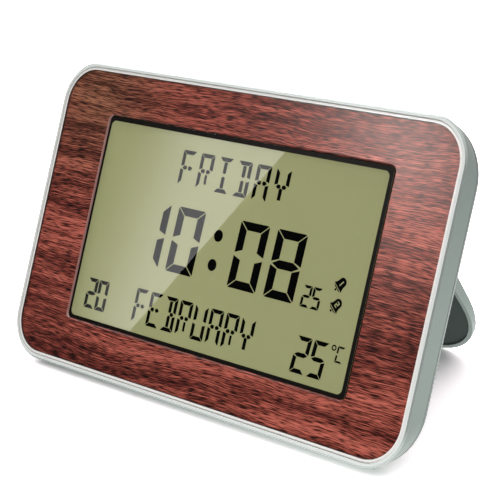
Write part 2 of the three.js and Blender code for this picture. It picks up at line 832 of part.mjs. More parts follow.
function makeContacts() {
  const half = contactSize / 2;
  const left = boxLeft + fitGap;
  const right = -boxLeft - fitGap - contactThickness;
  return [
    meshOf("contact_positive", join(contactPlate(left, cellZ(0), half), contactTail(cellZ(0), 0)), finishes.steel),
    meshOf("contact_negative", join(contactPlate(left, cellZ(1), half), contactTail(cellZ(1), 0)), finishes.steel),
    meshOf("contact_bridge", contactPlate(right, boxCentreZ, half + cellPitch / 2), finishes.steel),
  ];
}

class CoilPath extends THREE.Curve {
  getPoint(share) {
    const turn = 2 * Math.PI * springTurns * share;
    const radius = springWideRadius + (springNarrowRadius - springWideRadius) * share;
    const length = springLength - 2 * springWireRadius - 2 * fitGap;
    return new THREE.Vector3(share * length, radius * Math.cos(turn), radius * Math.sin(turn));
  }
}

// A ring of equal sides, as the section of a wire
function wireSection(radius, sides) {
  const corners = Array.from({ length: sides }, (_, index) => {
    const turn = (2 * Math.PI * index) / sides;
    return new THREE.Vector2(radius * Math.cos(turn), radius * Math.sin(turn));
  });
  return new THREE.Shape(corners);
}

function makeSpring(index) {
  const geometry = new THREE.ExtrudeGeometry(wireSection(springWireRadius, 5), {
    extrudePath: new CoilPath(),
    steps: 8 * springTurns,
    bevelEnabled: false,
  });
  const towards = index === 0 ? -1 : 1;
  if (towards < 0) geometry.rotateY(Math.PI);
  const wallX = -towards * (-boxLeft - fitGap - contactThickness - fitGap - springWireRadius);
  geometry.translate(wallX, cellCentreY, cellZ(index));
  return meshOf(`cell_spring_${index + 1}`, solid(geometry), finishes.steel);
}

// Wires from the contact tails up to the board, kept clear of the box wall
const wireEndShares = [-0.36, -0.42]; // shares of the board's width, from its middle
const wireRiseShare = 0.5;

function makeWire(name, index, look) {
  const startX = -tailReach - fitGap - wireRadius;
  const endX = holderWidth * wireEndShares[index];
  const endZ = boardBottom + contactLedge;
  const endY = onBoard + wireRadius;
  const middleX = startX + (endX - startX) * wireRiseShare;
  const middleZ = cellZ(index) + (endZ - cellZ(index)) * wireRiseShare;
  const path = new THREE.CatmullRomCurve3([
    new THREE.Vector3(startX, cellCentreY, cellZ(index)),
    new THREE.Vector3(startX - contactSize / 2, cellCentreY, cellZ(index)),
    new THREE.Vector3(middleX, (cellCentreY + endY) / 2, middleZ),
    new THREE.Vector3(endX, endY + wireRadius, endZ - contactLedge),
    new THREE.Vector3(endX, endY, endZ),
  ]);
  const geometry = new THREE.ExtrudeGeometry(wireSection(wireRadius, 6), {
    extrudePath: path,
    steps: 14,
    bevelEnabled: false,
  });
  return meshOf(name, solid(geometry), look);
}

function makeBuzzer() {
  const rear = coverInside - buzzerRingHeight - fitGap;
  const disc = barY(buzzerX, buzzerZ, buzzerRadius, rear - buzzerThickness, rear, 28);
  return meshOf("piezo_buzzer", disc, finishes.brass);
}

// Stand leaf, drawn folded flat: its hinge axis is the origin, its front plane faces the clock
const leafThickness = (z) =>
  leafThicknessTop + ((leafThicknessFoot - leafThicknessTop) * -z) / leafLength;

function leafOutline(inset, top) {
  const right = leafHalfWidth - inset;
  const bottom = -leafLength + inset;
  const foot = leafFootRadius - inset;
  const quarter = Math.PI / 2;
  const shape = new THREE.Shape();
  shape.moveTo(-right + foot, bottom);
  shape.lineTo(right - foot, bottom);
  shape.absarc(right - foot, bottom + foot, foot, -quarter, 0, false);
  shape.lineTo(right, top - leafTopRadius);
  shape.absarc(right - leafTopRadius, top - leafTopRadius, leafTopRadius, 0, quarter, false);
  shape.lineTo(-right + leafTopRadius, top);
  shape.absarc(-right + leafTopRadius, top - leafTopRadius, leafTopRadius, quarter, 2 * quarter, false);
  shape.lineTo(-right, bottom + foot);
  shape.absarc(-right + foot, bottom + foot, foot, 2 * quarter, 3 * quarter, false);
  return shape;
}

// Moves each point of a flat slab to its place on the leaf's sloping back
function slope(geometry, place) {
  const position = geometry.attributes.position;
  for (let index = 0; index < position.count; index += 1) {
    position.setY(index, place(position.getY(index), position.getZ(index)) - hingeOffset);
  }
  return geometry;
}

const onSlope = (y, z) => (y < 0 ? y : y + leafThickness(z) - leafThicknessTop);

function makeLeafBody() {
  const bodyGeometry = new THREE.ExtrudeGeometry(leafOutline(0, leafHeel), {
    depth: leafThicknessTop - leafEdgeRadius,
    bevelThickness: leafEdgeRadius,
    bevelSize: leafEdgeRadius,
    bevelOffset: -leafEdgeRadius,
    bevelSegments: 2,
    curveSegments: 6,
  });
  bodyGeometry.rotateX(Math.PI / 2).translate(0, leafThicknessTop - leafEdgeRadius, 0);
  const body = slope(bodyGeometry, (y, z) => (y * leafThickness(z)) / leafThicknessTop);
  const hollow = slab(
    leafOutline(leafRim, -leafHollowTop),
    -cutOverrun,
    leafThicknessTop - leafWall,
    6,
  );
  const pinEnd = leafHalfWidth - hingePinDepth - fitGap;
  const boreRadius = hingePinRadius + fitGap;
  const deskInLeafAxes = belowDesk().translate(0, -hingeY, -hingeZ).rotateX(-standOpen);
  return cut(
    solid(body),
    inFrontOf(-hingeOffset),
    solid(slope(hollow, onSlope)),
    barX(pinEnd, leafHalfWidth + cutOverrun, 0, 0, boreRadius, 16),
    barX(-leafHalfWidth - cutOverrun, -pinEnd, 0, 0, boreRadius, 16),
    solid(deskInLeafAxes),
  );
}

function makeStand() {
  const hinge = new THREE.Group();
  hinge.name = "stand_hinge";
  hinge.position.set(0, hingeY, hingeZ);
  hinge.rotation.x = standOpen;
  const panelRear = leafThicknessTop - leafWall - fitGap;
  const panel = slab(
    leafOutline(leafRim + fitGap, -leafHollowTop - fitGap),
    panelRear - innerPanelThickness,
    panelRear,
    6,
  );
  hinge.add(
    meshOf("stand_leaf", makeLeafBody(), finishes.silver),
    meshOf("stand_inner_panel", solid(slope(panel, onSlope)), finishes.darkPlastic),
  );
  return hinge;
}

function makeHingePins() {
  const inner = leafHalfWidth - hingePinDepth;
  const outer = troughHalfWidth + earWidth;
  return [
    meshOf("hinge_pin_right", barX(inner, outer, hingeY, hingeZ, hingePinRadius, 12), finishes.steel),
    meshOf("hinge_pin_left", barX(-outer, -inner, hingeY, hingeZ, hingePinRadius, 12), finishes.steel),
  ];
}

// Assembly: upright first, then leant back on its stand and set over its middle on the desk
const clock = new THREE.Group();
clock.name = "clock_upright";
clock.add(
  makeCaseFrame(),
  makeTrimRing(),
  makeWoodPanel(),
  ...makeDisplayStack(),
  makeHolder(),
  makeZebra(),
  ...makeHolderScrews(),
  makeBoard(),
  ...makeBoardParts(),
  ...buttonNames.map(makeSwitch),
  ...buttonNames.map(makeButton),
  makeRearCover(),
  ...makeCoverScrews(),
  makeBatteryDoor(),
  makeCell(0),
  makeCell(1),
  ...makeContacts(),
  makeSpring(0),
  makeSpring(1),
  makeWire("battery_wire_red", 0, finishes.redWire),
  makeWire("battery_wire_black", 1, finishes.blackWire),
  makeBuzzer(),
  makeStand(),
  ...makeHingePins(),
);
clock.rotation.x = -lean;
clock.position.z = liftZ;

const assembly = new THREE.Group();
assembly.add(clock);
assembly.updateMatrixWorld(true);
const reach = new THREE.Box3().setFromObject(assembly, true);
clock.position.y = -(reach.min.y + reach.max.y) / 2;

export default assembly;
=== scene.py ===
import json
import math

import bpy
from mathutils import Matrix, Vector


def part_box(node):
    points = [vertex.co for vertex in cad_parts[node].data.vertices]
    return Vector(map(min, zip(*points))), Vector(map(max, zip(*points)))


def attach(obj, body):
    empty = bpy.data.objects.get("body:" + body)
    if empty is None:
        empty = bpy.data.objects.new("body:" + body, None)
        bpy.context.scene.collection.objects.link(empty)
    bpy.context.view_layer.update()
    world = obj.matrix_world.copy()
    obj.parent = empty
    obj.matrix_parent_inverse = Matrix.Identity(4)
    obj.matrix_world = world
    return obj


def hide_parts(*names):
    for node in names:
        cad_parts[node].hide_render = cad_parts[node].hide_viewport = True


# Desk clock with a calendar display in a wood front, leaning back on its stand.
# Clock frame: x right, y back from just ahead of the wood, z up the face, origin in the middle of the face.

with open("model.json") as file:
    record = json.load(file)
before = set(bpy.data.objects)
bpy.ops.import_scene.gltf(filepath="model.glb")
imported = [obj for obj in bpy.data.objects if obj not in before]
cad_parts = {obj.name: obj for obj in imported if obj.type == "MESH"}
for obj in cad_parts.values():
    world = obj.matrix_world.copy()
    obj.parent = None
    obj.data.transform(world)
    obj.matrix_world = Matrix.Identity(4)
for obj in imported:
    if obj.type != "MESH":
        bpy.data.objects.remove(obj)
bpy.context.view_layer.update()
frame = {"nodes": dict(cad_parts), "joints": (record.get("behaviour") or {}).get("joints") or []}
mm = 0.001

pressAxis = Vector(next(joint["axis"] for joint in frame["joints"] if joint["name"] == "mode_press"))
pressAxis.normalize()  # points out of the face
lean = math.atan2(pressAxis.z, -pressAxis.y)
woodMiddleDepth = 1.3 * mm
woodLow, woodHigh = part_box("wood_panel")
faceOrigin = (woodLow + woodHigh) / 2 + pressAxis * woodMiddleDepth
clockPlace = Matrix.Translation(faceOrigin) @ Matrix.Rotation(-lean, 4, "X")
toClock = clockPlace.inverted()
print("frame loaded, clock leans", round(math.degrees(lean), 2))


# Small helpers

def clockBox(nodeName):
    points = [toClock @ vertex.co for vertex in frame["nodes"][nodeName].data.vertices]
    low = Vector([min(point[axis] for point in points) for axis in range(3)])
    high = Vector([max(point[axis] for point in points) for axis in range(3)])
    return low, high


def backMiddle(nodeName):
    # middle of the node's side that faces away from the front
    low, high = clockBox(nodeName)
    return (low.x + high.x) / 2, high.y, (low.z + high.z) / 2


def activate(piece):
    bpy.ops.object.select_all(action="DESELECT")
    piece.select_set(True)
    bpy.context.view_layer.objects.active = piece


def addObject(name, data):
    piece = bpy.data.objects.new(name, data)
    bpy.context.scene.collection.objects.link(piece)
    return piece


def applyModifier(piece, kind, **settings):
    activate(piece)
    modifier = piece.modifiers.new(kind.lower(), kind)
    for key, value in settings.items():
        setattr(modifier, key, value)
    bpy.ops.object.modifier_apply(modifier=modifier.name)


def placeOnClock(piece, place=None):
    activate(piece)
    piece.matrix_world = clockPlace @ (place or Matrix())
    bpy.ops.object.transform_apply()
    return piece


def paint(piece, *finishes):
    # faces take the first finish, until a face's own index names another
    piece.data.materials.clear()
    for finish in finishes:
        piece.data.materials.append(materials[finish])


def belong(piece, body, slotName, *nodes):
    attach(piece, body)
    if nodes:
        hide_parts(*nodes)


def toLinear(red, green, blue):
    # a screen's colour, each part from 0 to 255, as a shader takes it
    parts = [value / 255 for value in (red, green, blue)]
    return tuple(v / 12.92 if v <= 0.04045 else ((v + 0.055) / 1.055) ** 2.4 for v in parts) + (1,)


def softEdges(piece, width, segments=2, edgeAngle=35):
    applyModifier(piece, "BEVEL", width=width, segments=segments, limit_method="ANGLE",
                  angle_limit=math.radians(edgeAngle), use_clamp_overlap=True)
    activate(piece)
    bpy.ops.object.shade_smooth_by_angle(angle=math.radians(edgeAngle))
    applyModifier(piece, "WEIGHTED_NORMAL", keep_sharp=True, weight=50)


def mergeAndRun(piece, mergeDistance, lastStep, **settings):
    # doubles are merged, then one more step of edit mode runs on the whole piece
    activate(piece)
    bpy.ops.object.mode_set(mode="EDIT")
    bpy.ops.mesh.select_all(action="SELECT")
    bpy.ops.mesh.remove_doubles(threshold=mergeDistance)
    lastStep(**settings)
    bpy.ops.object.mode_set(mode="OBJECT")


def faceOut(piece, mergeDistance=1e-6):
    mergeAndRun(piece, mergeDistance, bpy.ops.mesh.normals_make_consistent, inside=False)


def copyNode(nodeName, pieceName, mergeDistance=2e-6, flatAngle=0.5):
    # a copy of the CAD shape, whose loose triangles become whole faces
    piece = addObject(pieceName, frame["nodes"][nodeName].data.copy())
    activate(piece)
    if piece.data.has_custom_normals:
        bpy.ops.mesh.customdata_custom_splitnormals_clear()
    mergeAndRun(piece, mergeDistance, bpy.ops.mesh.dissolve_limited, angle_limit=math.radians(flatAngle))
    bpy.ops.object.shade_flat()
    return piece


def addBlock(size, turn=0):
    # a box round the origin, turned about z by some degrees, for a cut or to be rounded
    bpy.ops.object.select_all(action="DESELECT")
    bpy.ops.mesh.primitive_cube_add(size=1)
    block = bpy.context.object
    block.scale = size
    block.rotation_euler = (0, 0, math.radians(turn))
    bpy.ops.object.transform_apply()
    return block


# Camera, at the photograph's angle and roll

cameraView = {
    "place": (0.481204, -0.5043725, 0.0159978),  # in the clock frame
    "right": (0.7156, 0.6643, 0.2158),
    "up": (-0.1724, -0.1313, 0.9762),
    "lens": 127.044,
    "sensor": 36,
    "nearest": 0.01,
    "farthest": 50,
}


def makeCamera(view):
    cameraData = bpy.data.cameras.new("deskCamera")
    cameraData.lens = view["lens"]
    cameraData.sensor_width = view["sensor"]
    cameraData.clip_start = view["nearest"]
    cameraData.clip_end = view["farthest"]
    camera = addObject("deskCamera", cameraData)
    right = Vector(view["right"]).normalized()
    up = Vector(view["up"])
    up = (up - right * up.dot(right)).normalized()
    turn = Matrix((right, up, right.cross(up))).transposed().to_4x4()
    camera.matrix_world = clockPlace @ Matrix.Translation(Vector(view["place"])) @ turn
    bpy.context.scene.camera = camera


makeCamera(cameraView)
bpy.context.scene.view_settings.view_transform = "Standard"
bpy.context.scene.view_settings.look = "None"


# Nodes that more than one material uses

def setInputs(tree, node, inputs):
    # an input takes a value, or the output that it is linked to
    for name, value in inputs.items():
        if isinstance(value, bpy.types.NodeSocket):
            tree.links.new(value, node.inputs[name])
        else:
            node.inputs[name].default_value = value


def addNode(tree, kind, inputs=None, **settings):
    node = tree.nodes.new(kind)
    for key, value in settings.items():
        setattr(node, key, value)
    setInputs(tree, node, inputs or {})
    return node


def mathNode(tree, operation, first, second, clamp=False):
    return addNode(tree, "ShaderNodeMath", {0: first, 1: second}, operation=operation, use_clamp=clamp).outputs[0]


def shareNode(tree, first, firstShare, second, secondShare):
    return mathNode(tree, "ADD", mathNode(tree, "MULTIPLY", first, firstShare),
                    mathNode(tree, "MULTIPLY", second, secondShare))


def swingNode(tree, noise, amount):
    # noise round a half becomes a swing round nothing
    return mathNode(tree, "MULTIPLY", mathNode(tree, "SUBTRACT", noise, 0.5), amount)


def rampNode(tree, value, stops):
    node = addNode(tree, "ShaderNodeValToRGB", {"Fac": value})
    ramp = node.color_ramp
    ramp.interpolation = "LINEAR"
    while len(ramp.elements) < len(stops):
        ramp.elements.new(0.5)
    for element, (position, color) in zip(ramp.elements, stops):
        element.position = position
        element.color = color
    return node.outputs["Color"]


def fadeNode(tree, value, start, end, atStart, atEnd):
    return addNode(tree, "ShaderNodeMapRange",
                   {"Value": value, "From Min": start, "From Max": end, "To Min": atStart, "To Max": atEnd},
                   interpolation_type="SMOOTHSTEP").outputs["Result"]


def distanceNode(tree, place, point):
    return addNode(tree, "ShaderNodeVectorMath", {0: place, 1: point}, operation="DISTANCE").outputs["Value"]


def mixNode(tree, factor, first, second, blend="MIX"):
    return addNode(tree, "ShaderNodeMix", {"Factor": factor, "A": first, "B": second},
                   data_type="RGBA", blend_type=blend).outputs["Result"]


def objectPlace(tree):
    return addNode(tree, "ShaderNodeTexCoord").outputs["Object"]


def axisNode(tree, place, axis):
    return addNode(tree, "ShaderNodeSeparateXYZ", {"Vector": place}).outputs[axis]


def grey(value):
    return (value, value, value, 1)


# Floor and studio light

studio = {
    "floorRadius": 6,
    "floorDrop": 0.0002,
    "floorTone": 0.93,
    "floorExposed": (2.5, 2.32, 2.4, 1),  # as the camera sees it, so that the shadows stay grey
    "floorGlow": 1.1,  # the white table lights the object from below too, most on its right
    "floorGlowPlace": (0.17, 0.02, 0),
    "floorGlowReach": 0.36,
    # height over the horizon, and the share of the light at the top that comes from there
    "skyStops": ((0.0, 0.02), (0.36, 0.02), (0.5, 0.45), (0.75, 0.85), (1.0, 1.0)),
    "skyTop": 1.45,
    "mirrorDepth": 0.9 * mm,  # front of the window
}

# Panels of light stand where the window's plane mirrors them to the camera.
# Their outlines are places on the face, x and z in mm, and the light varies over them.
# Reach is how far a panel stands, in lengths of the way to the mirrored camera.
lightPanels = {
    "softBox": dict(outline=((48, 75), (-64, -75), (-82, -75), (-82, 75)), strength=2.05, reach=8,
                    glintOnly=False, tilt=-0.228, fadeFrom=-77, fadeTo=-20),
    "cornerBox": dict(outline=((79.5, 2), (79.5, 45), (25, 45), (25, 85), (104, 85), (104, 2)), strength=58.0,
                      reach=1.4, glintOnly=True, centre=(84, 50), fadeOver=58),
}
topBox = {"towards": (-0.677, 0.302, 0.671), "distance": 2.2, "size": 1.3, "strength": 5.0}


def addDisc(name, radius, vertices=48, drop=0):
    bpy.ops.object.select_all(action="DESELECT")
    bpy.ops.mesh.primitive_circle_add(vertices=vertices, radius=radius, fill_type="NGON", location=(0, 0, -drop))
    disc = bpy.context.object
    disc.name = name
    bpy.ops.object.transform_apply()
    return disc


def stageMaterial(name):
    material = bpy.data.materials.new(name)
    material.use_nodes = True
    material.node_tree.nodes.clear()
    return material, material.node_tree


def endWith(tree, shader, kind="ShaderNodeOutputMaterial"):
    addNode(tree, kind, {"Surface": shader.outputs[0]})


def makeFloor(look):
    floor = addDisc("floor", look["floorRadius"], vertices=96, drop=look["floorDrop"])
    material, tree = stageMaterial("paleFloor")
    cameraRay = addNode(tree, "ShaderNodeLightPath").outputs["Is Camera Ray"]
    tone = mixNode(tree, cameraRay, grey(look["floorTone"]), look["floorExposed"])
    away = distanceNode(tree, objectPlace(tree), look["floorGlowPlace"])
    near = fadeNode(tree, away, look["floorGlowReach"], 0, 0, look["floorGlow"])
    # the camera doesn't see the glow
    glow = addNode(tree, "ShaderNodeMapRange", {"Value": cameraRay, "To Min": near, "To Max": 0})
    matt = addNode(tree, "ShaderNodeBsdfDiffuse", {"Color": tone})
    lit = addNode(tree, "ShaderNodeEmission", {"Strength": glow.outputs["Result"]})
    endWith(tree, addNode(tree, "ShaderNodeAddShader", {0: matt.outputs[0], 1: lit.outputs[0]}))
    floor.data.materials.append(material)


def makeWorld(look):
    world = bpy.data.worlds.new("studioSky")
    bpy.context.scene.world = world
    world.use_nodes = True
    tree = world.node_tree
    tree.nodes.clear()
    height = axisNode(tree, addNode(tree, "ShaderNodeTexCoord").outputs["Generated"], "Z")
    rise = rampNode(tree, height, [(place, grey(share)) for place, share in look["skyStops"]])
    sky = addNode(tree, "ShaderNodeBackground", {"Color": rise, "Strength": look["skyTop"]})
    seen = addNode(tree, "ShaderNodeBackground", {"Color": grey(1)})
    cameraRay = addNode(tree, "ShaderNodeLightPath").outputs["Is Camera Ray"]
    both = addNode(tree, "ShaderNodeMixShader", {0: cameraRay, 1: sky.outputs[0], 2: seen.outputs[0]})
    endWith(tree, both, "ShaderNodeOutputWorld")


def finishPanel(panel, strength):
    material, tree = stageMaterial(panel.name + "Cloth")
    glow = addNode(tree, "ShaderNodeEmission")
    endWith(tree, glow)
    setInputs(tree, glow, {"Strength": strength(tree)})
    panel.data.materials.append(material)
    panel.visible_camera = False
    panel.visible_shadow = False


def makePanel(name, look, stand):
    # a point of the panel keeps the face's own x and z, so the shader can read places on the face
    depth = stand["mirrorDepth"]
    eye = Vector(cameraView["place"])
    mirroredEye = Vector((eye.x, 2 * depth - eye.y, eye.z))
    grow = look["reach"]
    mesh = bpy.data.meshes.new(name)
    corners = [(x * mm, depth, z * mm) for x, z in look["outline"]]
    mesh.from_pydata(corners, [], [list(range(len(corners)))])
    panel = addObject(name, mesh)
    panel.matrix_world = clockPlace @ Matrix.Translation(mirroredEye * (1 - grow)) @ Matrix.Scale(grow, 4)

    def strength(tree):
        place = objectPlace(tree)
        if "tilt" not in look:  # brightest at its centre
            centreX, centreZ = look["centre"]
            away = distanceNode(tree, place, (centreX * mm, depth, centreZ * mm))
            return fadeNode(tree, away, 0, look["fadeOver"] * mm, look["strength"], 0)
        slope = mathNode(tree, "MULTIPLY", axisNode(tree, place, "Z"), look["tilt"])
        across = mathNode(tree, "ADD", axisNode(tree, place, "X"), slope)
        return fadeNode(tree, across, look["fadeFrom"] * mm, look["fadeTo"] * mm, 0, look["strength"])

    finishPanel(panel, strength)
    panel.visible_diffuse = not look["glintOnly"]


def makeTopBox(look):
    panel = addDisc("topBox", look["size"] / 2)
    towards = Vector(look["towards"]).normalized()
    panel.matrix_world = (Matrix.Translation(faceOrigin + towards * look["distance"])
                          @ towards.to_track_quat("Z", "Y").to_matrix().to_4x4())
    finishPanel(panel, lambda tree: look["strength"])


makeFloor(studio)
makeWorld(studio)
for panelName, panelLook in lightPanels.items():
    makePanel(panelName, panelLook, studio)
makeTopBox(topBox)
print("studio made")


# Skin of painted and moulded pieces, one group for all of them

skin = {
    "grainShare": 0.6,
    "cloudShare": 0.4,
    "cloudsPerMetre": 45,
    "glossSwing": 0.6,  # how much of the tone's swing the roughness takes
}


def newGroup(name, inputs, outputs):
    group = bpy.data.node_groups.new(name, "ShaderNodeTree")
    for socketName, kind, value in inputs:
        socket = group.interface.new_socket(name=socketName, in_out="INPUT", socket_type=kind)
        if value is not None:
            socket.default_value = value
    for socketName, kind in outputs:
        group.interface.new_socket(name=socketName, in_out="OUTPUT", socket_type=kind)
    return group, addNode(group, "NodeGroupInput"), addNode(group, "NodeGroupOutput")


def noiseNode(tree, place, scale, detail=2, roughness=0.5):
    return addNode(tree, "ShaderNodeTexNoise", {"Vector": place, "Scale": scale, "Detail": detail,
                                                "Roughness": roughness}).outputs["Fac"]


def stretchNode(tree, place, scale):
    return addNode(tree, "ShaderNodeMapping", {"Vector": place, "Scale": scale},
                   vector_type="POINT").outputs["Vector"]


def stretchedNoise(tree, place, stretch, detail=2, roughness=0.5):
    return noiseNode(tree, stretchNode(tree, place, stretch), 1, detail, roughness)


def clockCoordinates(tree):
    return addNode(tree, "ShaderNodeMapping", {"Vector": objectPlace(tree), "Location": faceOrigin,
                                               "Rotation": (-lean, 0, 0)}, vector_type="TEXTURE").outputs["Vector"]


def makeMouldedGroup(look):
    # colour, roughness and height: fine grain over slow clouds
    group, source, target = newGroup(
        "mouldedSkin",
        (("Vector", "NodeSocketVector", None), ("Tone", "NodeSocketColor", grey(0.5)),
         ("Grains per metre", "NodeSocketFloat", 4000), ("Contrast", "NodeSocketFloat", 0.1),
         ("Gloss", "NodeSocketFloat", 0.5)),
        (("Color", "NodeSocketColor"), ("Roughness", "NodeSocketFloat"), ("Height", "NodeSocketFloat")))
    given = source.outputs
    grain = noiseNode(group, given["Vector"], given["Grains per metre"], detail=3, roughness=0.6)
    clouds = noiseNode(group, given["Vector"], look["cloudsPerMetre"], detail=3)
    swing = swingNode(group, shareNode(group, grain, look["grainShare"], clouds, look["cloudShare"]),
                      given["Contrast"])
    tone = addNode(group, "ShaderNodeVectorMath",
                   {"Vector": given["Tone"], "Scale": mathNode(group, "ADD", swing, 1)}, operation="SCALE")
    rough = mathNode(group, "ADD", mathNode(group, "MULTIPLY", swing, look["glossSwing"]), given["Gloss"],
                     clamp=True)
    setInputs(group, target, {"Color": tone.outputs[0], "Roughness": rough, "Height": grain})
    return group


mouldedSkin = makeMouldedGroup(skin)


def newMaterial(name, metallic=0.0, specular=0.5):
    material = bpy.data.materials.new(name)
    material.use_nodes = True
    tree = material.node_tree
    shader = tree.nodes["Principled BSDF"]
    setInputs(tree, shader, {"Metallic": metallic, "Specular IOR Level": specular})
    return material, tree, shader


def addBump(tree, shader, height, distance):
    bump = addNode(tree, "ShaderNodeBump", {"Height": height, "Strength": 1.0, "Distance": distance})
    setInputs(tree, shader, {"Normal": bump.outputs["Normal"]})


def makeMoulded(name, tone, roughness, metallic=0.0, grains=4000, contrast=0.12, bump=0.01 * mm,
                specular=0.5, stretch=(1, 1, 1)):
    material, tree, shader = newMaterial(name, metallic, specular)
    made = addNode(tree, "ShaderNodeGroup", node_tree=mouldedSkin)
    setInputs(tree, made, {"Vector": stretchNode(tree, clockCoordinates(tree), stretch), "Tone": tone,
                           "Grains per metre": grains, "Contrast": contrast, "Gloss": roughness})
    setInputs(tree, shader, {"Base Color": made.outputs["Color"], "Roughness": made.outputs["Roughness"]})
    addBump(tree, shader, made.outputs["Height"], bump)
    return material


mouldedLooks = {
    "silverPaint": dict(tone=(0.2, 0.24, 0.22, 1), roughness=0.38, metallic=0.3, specular=0.3, grains=9000,
                        contrast=0.12, bump=0.004 * mm),
    "silverBack": dict(tone=(0.21, 0.24, 0.223, 1), roughness=0.42, metallic=0.3, specular=0.3, grains=9000,
                       contrast=0.12, bump=0.004 * mm),
    # painted light: a lit copy of the band's silver paint, for the lip's flat and inner wall
    "silverLipPaintedLight": dict(tone=(0.77, 0.8, 0.775, 1), roughness=0.4, specular=0.1, grains=9000,
                      contrast=0.06, bump=0.002 * mm),
    # painted light: a lighter copy of the band's paint, for the outer bevel
    "silverBevelPaintedLight": dict(tone=(0.4, 0.44, 0.42, 1), roughness=0.4, metallic=0.6, grains=9000,
                        contrast=0.1, bump=0.003 * mm),
    "brightRim": dict(tone=(0.9, 0.87, 0.84, 1), roughness=0.3, specular=0.12, grains=6000,
                      contrast=0.04, bump=0.002 * mm),
    "blackPlastic": dict(tone=(0.012, 0.012, 0.013, 1), roughness=0.5, grains=5000, contrast=0.3),
    "whitePlastic": dict(tone=(0.68, 0.68, 0.64, 1), roughness=0.55, contrast=0.08),
    # dark plastic, and partly painted shade: made darker still for the shade the stand's inner panel lies in
    "darkPlasticAndShade": dict(tone=(0.02, 0.034, 0.029, 1), roughness=0.6, contrast=0.25, specular=0.25, bump=0.02 * mm),
    "buttonRubber": dict(tone=(0.15, 0.165, 0.155, 1), roughness=0.55, contrast=0.2, bump=0.012 * mm),
    "mirrorFilm": dict(tone=(0.58, 0.6, 0.52, 1), roughness=0.3, metallic=0.9, contrast=0.1),
    "nickelSteel": dict(tone=(0.55, 0.55, 0.55, 1), roughness=0.3, metallic=1.0, grains=2500,
                        contrast=0.3, stretch=(0.15, 1, 1)),
    "buzzerBrass": dict(tone=(0.62, 0.42, 0.12, 1), roughness=0.32, metallic=1.0, grains=2500,
                        contrast=0.25),
    # painted shade and painted reflection: a dark copy of the rim, for its inner wall
    "rimInsidePaintedShade": dict(tone=(0.07, 0.05, 0.045, 1), roughness=0.3, grains=6000, contrast=0.2),
    # painted highlight: a lighter wood, for the bevel on the left of the opening
    "woodEdgePaintedHighlight": dict(tone=(0.3, 0.14, 0.12, 1), roughness=0.45, grains=1500, contrast=0.5),
    "redCable": dict(tone=(0.42, 0.02, 0.015, 1), roughness=0.42, contrast=0.15),
    "blackCable": dict(tone=(0.015, 0.015, 0.015, 1), roughness=0.42, contrast=0.2),
    "segmentInk": dict(tone=(0.001, 0.001, 0.001, 1), roughness=0.6, contrast=0.3, specular=0.0,
                       bump=0.002 * mm),
    # black print, and painted shade on the walls of the wood's opening
    "windowInkAndShade": dict(tone=(0.005, 0.004, 0.003, 1), roughness=0.5, contrast=0.3, specular=0.03),
    "markInk": dict(tone=(0.62, 0.64, 0.62, 1), roughness=0.5, contrast=0.15),
}
materials = {name: makeMoulded(name, **look) for name, look in mouldedLooks.items()}


# Wood film of the front

woodLook = {
    "tones": ((0.39, toLinear(98, 43, 37)), (0.46, toLinear(108, 51, 43)), (0.5, toLinear(122, 59, 49)),
              (0.55, toLinear(137, 69, 58)), (0.62, toLinear(150, 79, 67))),
    "bandScale": (5, 1, 120),
    "bandShare": 0.64,
    "streakScale": (26, 1, 520),
    "streakShare": 0.36,
    "hairScale": (50, 1, 2500),
    "hairSwing": 0.5,
    "poreScale": (180, 1, 2600),
    "poreCrowding": 0.5,  # dark pores crowd in the dark bands
    "poreTones": ((0.35, 0.06), (0.44, 0.46), (0.53, 1.3), (0.65, 1.9)),  # what the wood's tone is multiplied by
    "poreDepth": 0.025 * mm,
    "slowScale": (6, 1, 12),  # the grain wanders up and down along the panel
    "slowDrift": 9 * mm,
    "quickScale": (32, 1, 90),
    "quickDrift": 1.2 * mm,
    "roughness": 0.35,
    "poreRoughness": -0.15,
    "specular": 0.15,
    "sheen": (1.0, 0.7, 0.64, 1),
    "brownPlace": (-88 * mm, 0, 54 * mm),  # the panel is browner towards its upper left corner
    "brownReach": 60 * mm,
    "brown": (0.72, 1.15, 0.92, 1),
}


def makeWood(name, look):
    material, tree, shader = newMaterial(name, specular=look["specular"])
    place = clockCoordinates(tree)
    slow = stretchedNoise(tree, place, look["slowScale"])
    quick = stretchedNoise(tree, place, look["quickScale"])
    drift = mathNode(tree, "ADD", swingNode(tree, slow, 2 * look["slowDrift"]),
                     swingNode(tree, quick, 2 * look["quickDrift"]))
    shift = addNode(tree, "ShaderNodeCombineXYZ", {"Z": drift}).outputs[0]
    grainPlace = addNode(tree, "ShaderNodeVectorMath", {0: place, 1: shift}, operation="ADD").outputs[0]
    bands = stretchedNoise(tree, grainPlace, look["bandScale"], detail=3, roughness=0.55)
    streaks = stretchedNoise(tree, grainPlace, look["streakScale"], detail=3, roughness=0.6)
    pores = stretchedNoise(tree, grainPlace, look["poreScale"], detail=1)
    hairs = stretchedNoise(tree, grainPlace, look["hairScale"], detail=1)
    grain = mathNode(tree, "ADD", shareNode(tree, bands, look["bandShare"], streaks, look["streakShare"]),
                     swingNode(tree, hairs, look["hairSwing"]))
    tone = rampNode(tree, grain, look["tones"])
    crowd = mathNode(tree, "ADD", pores, swingNode(tree, grain, look["poreCrowding"]))
    poreTone = rampNode(tree, crowd, [(value, grey(share)) for value, share in look["poreTones"]])
    shade = mixNode(tree, 1.0, tone, poreTone, "MULTIPLY")
    near = fadeNode(tree, distanceNode(tree, place, look["brownPlace"]), look["brownReach"], 0, 0, 1)
    rough = mathNode(tree, "ADD", mathNode(tree, "MULTIPLY", pores, look["poreRoughness"]), look["roughness"])
    setInputs(tree, shader, {"Base Color": mixNode(tree, near, shade, look["brown"], "MULTIPLY"),
                             "Roughness": rough, "Specular Tint": look["sheen"]})
    addBump(tree, shader, pores, look["poreDepth"])
    return material


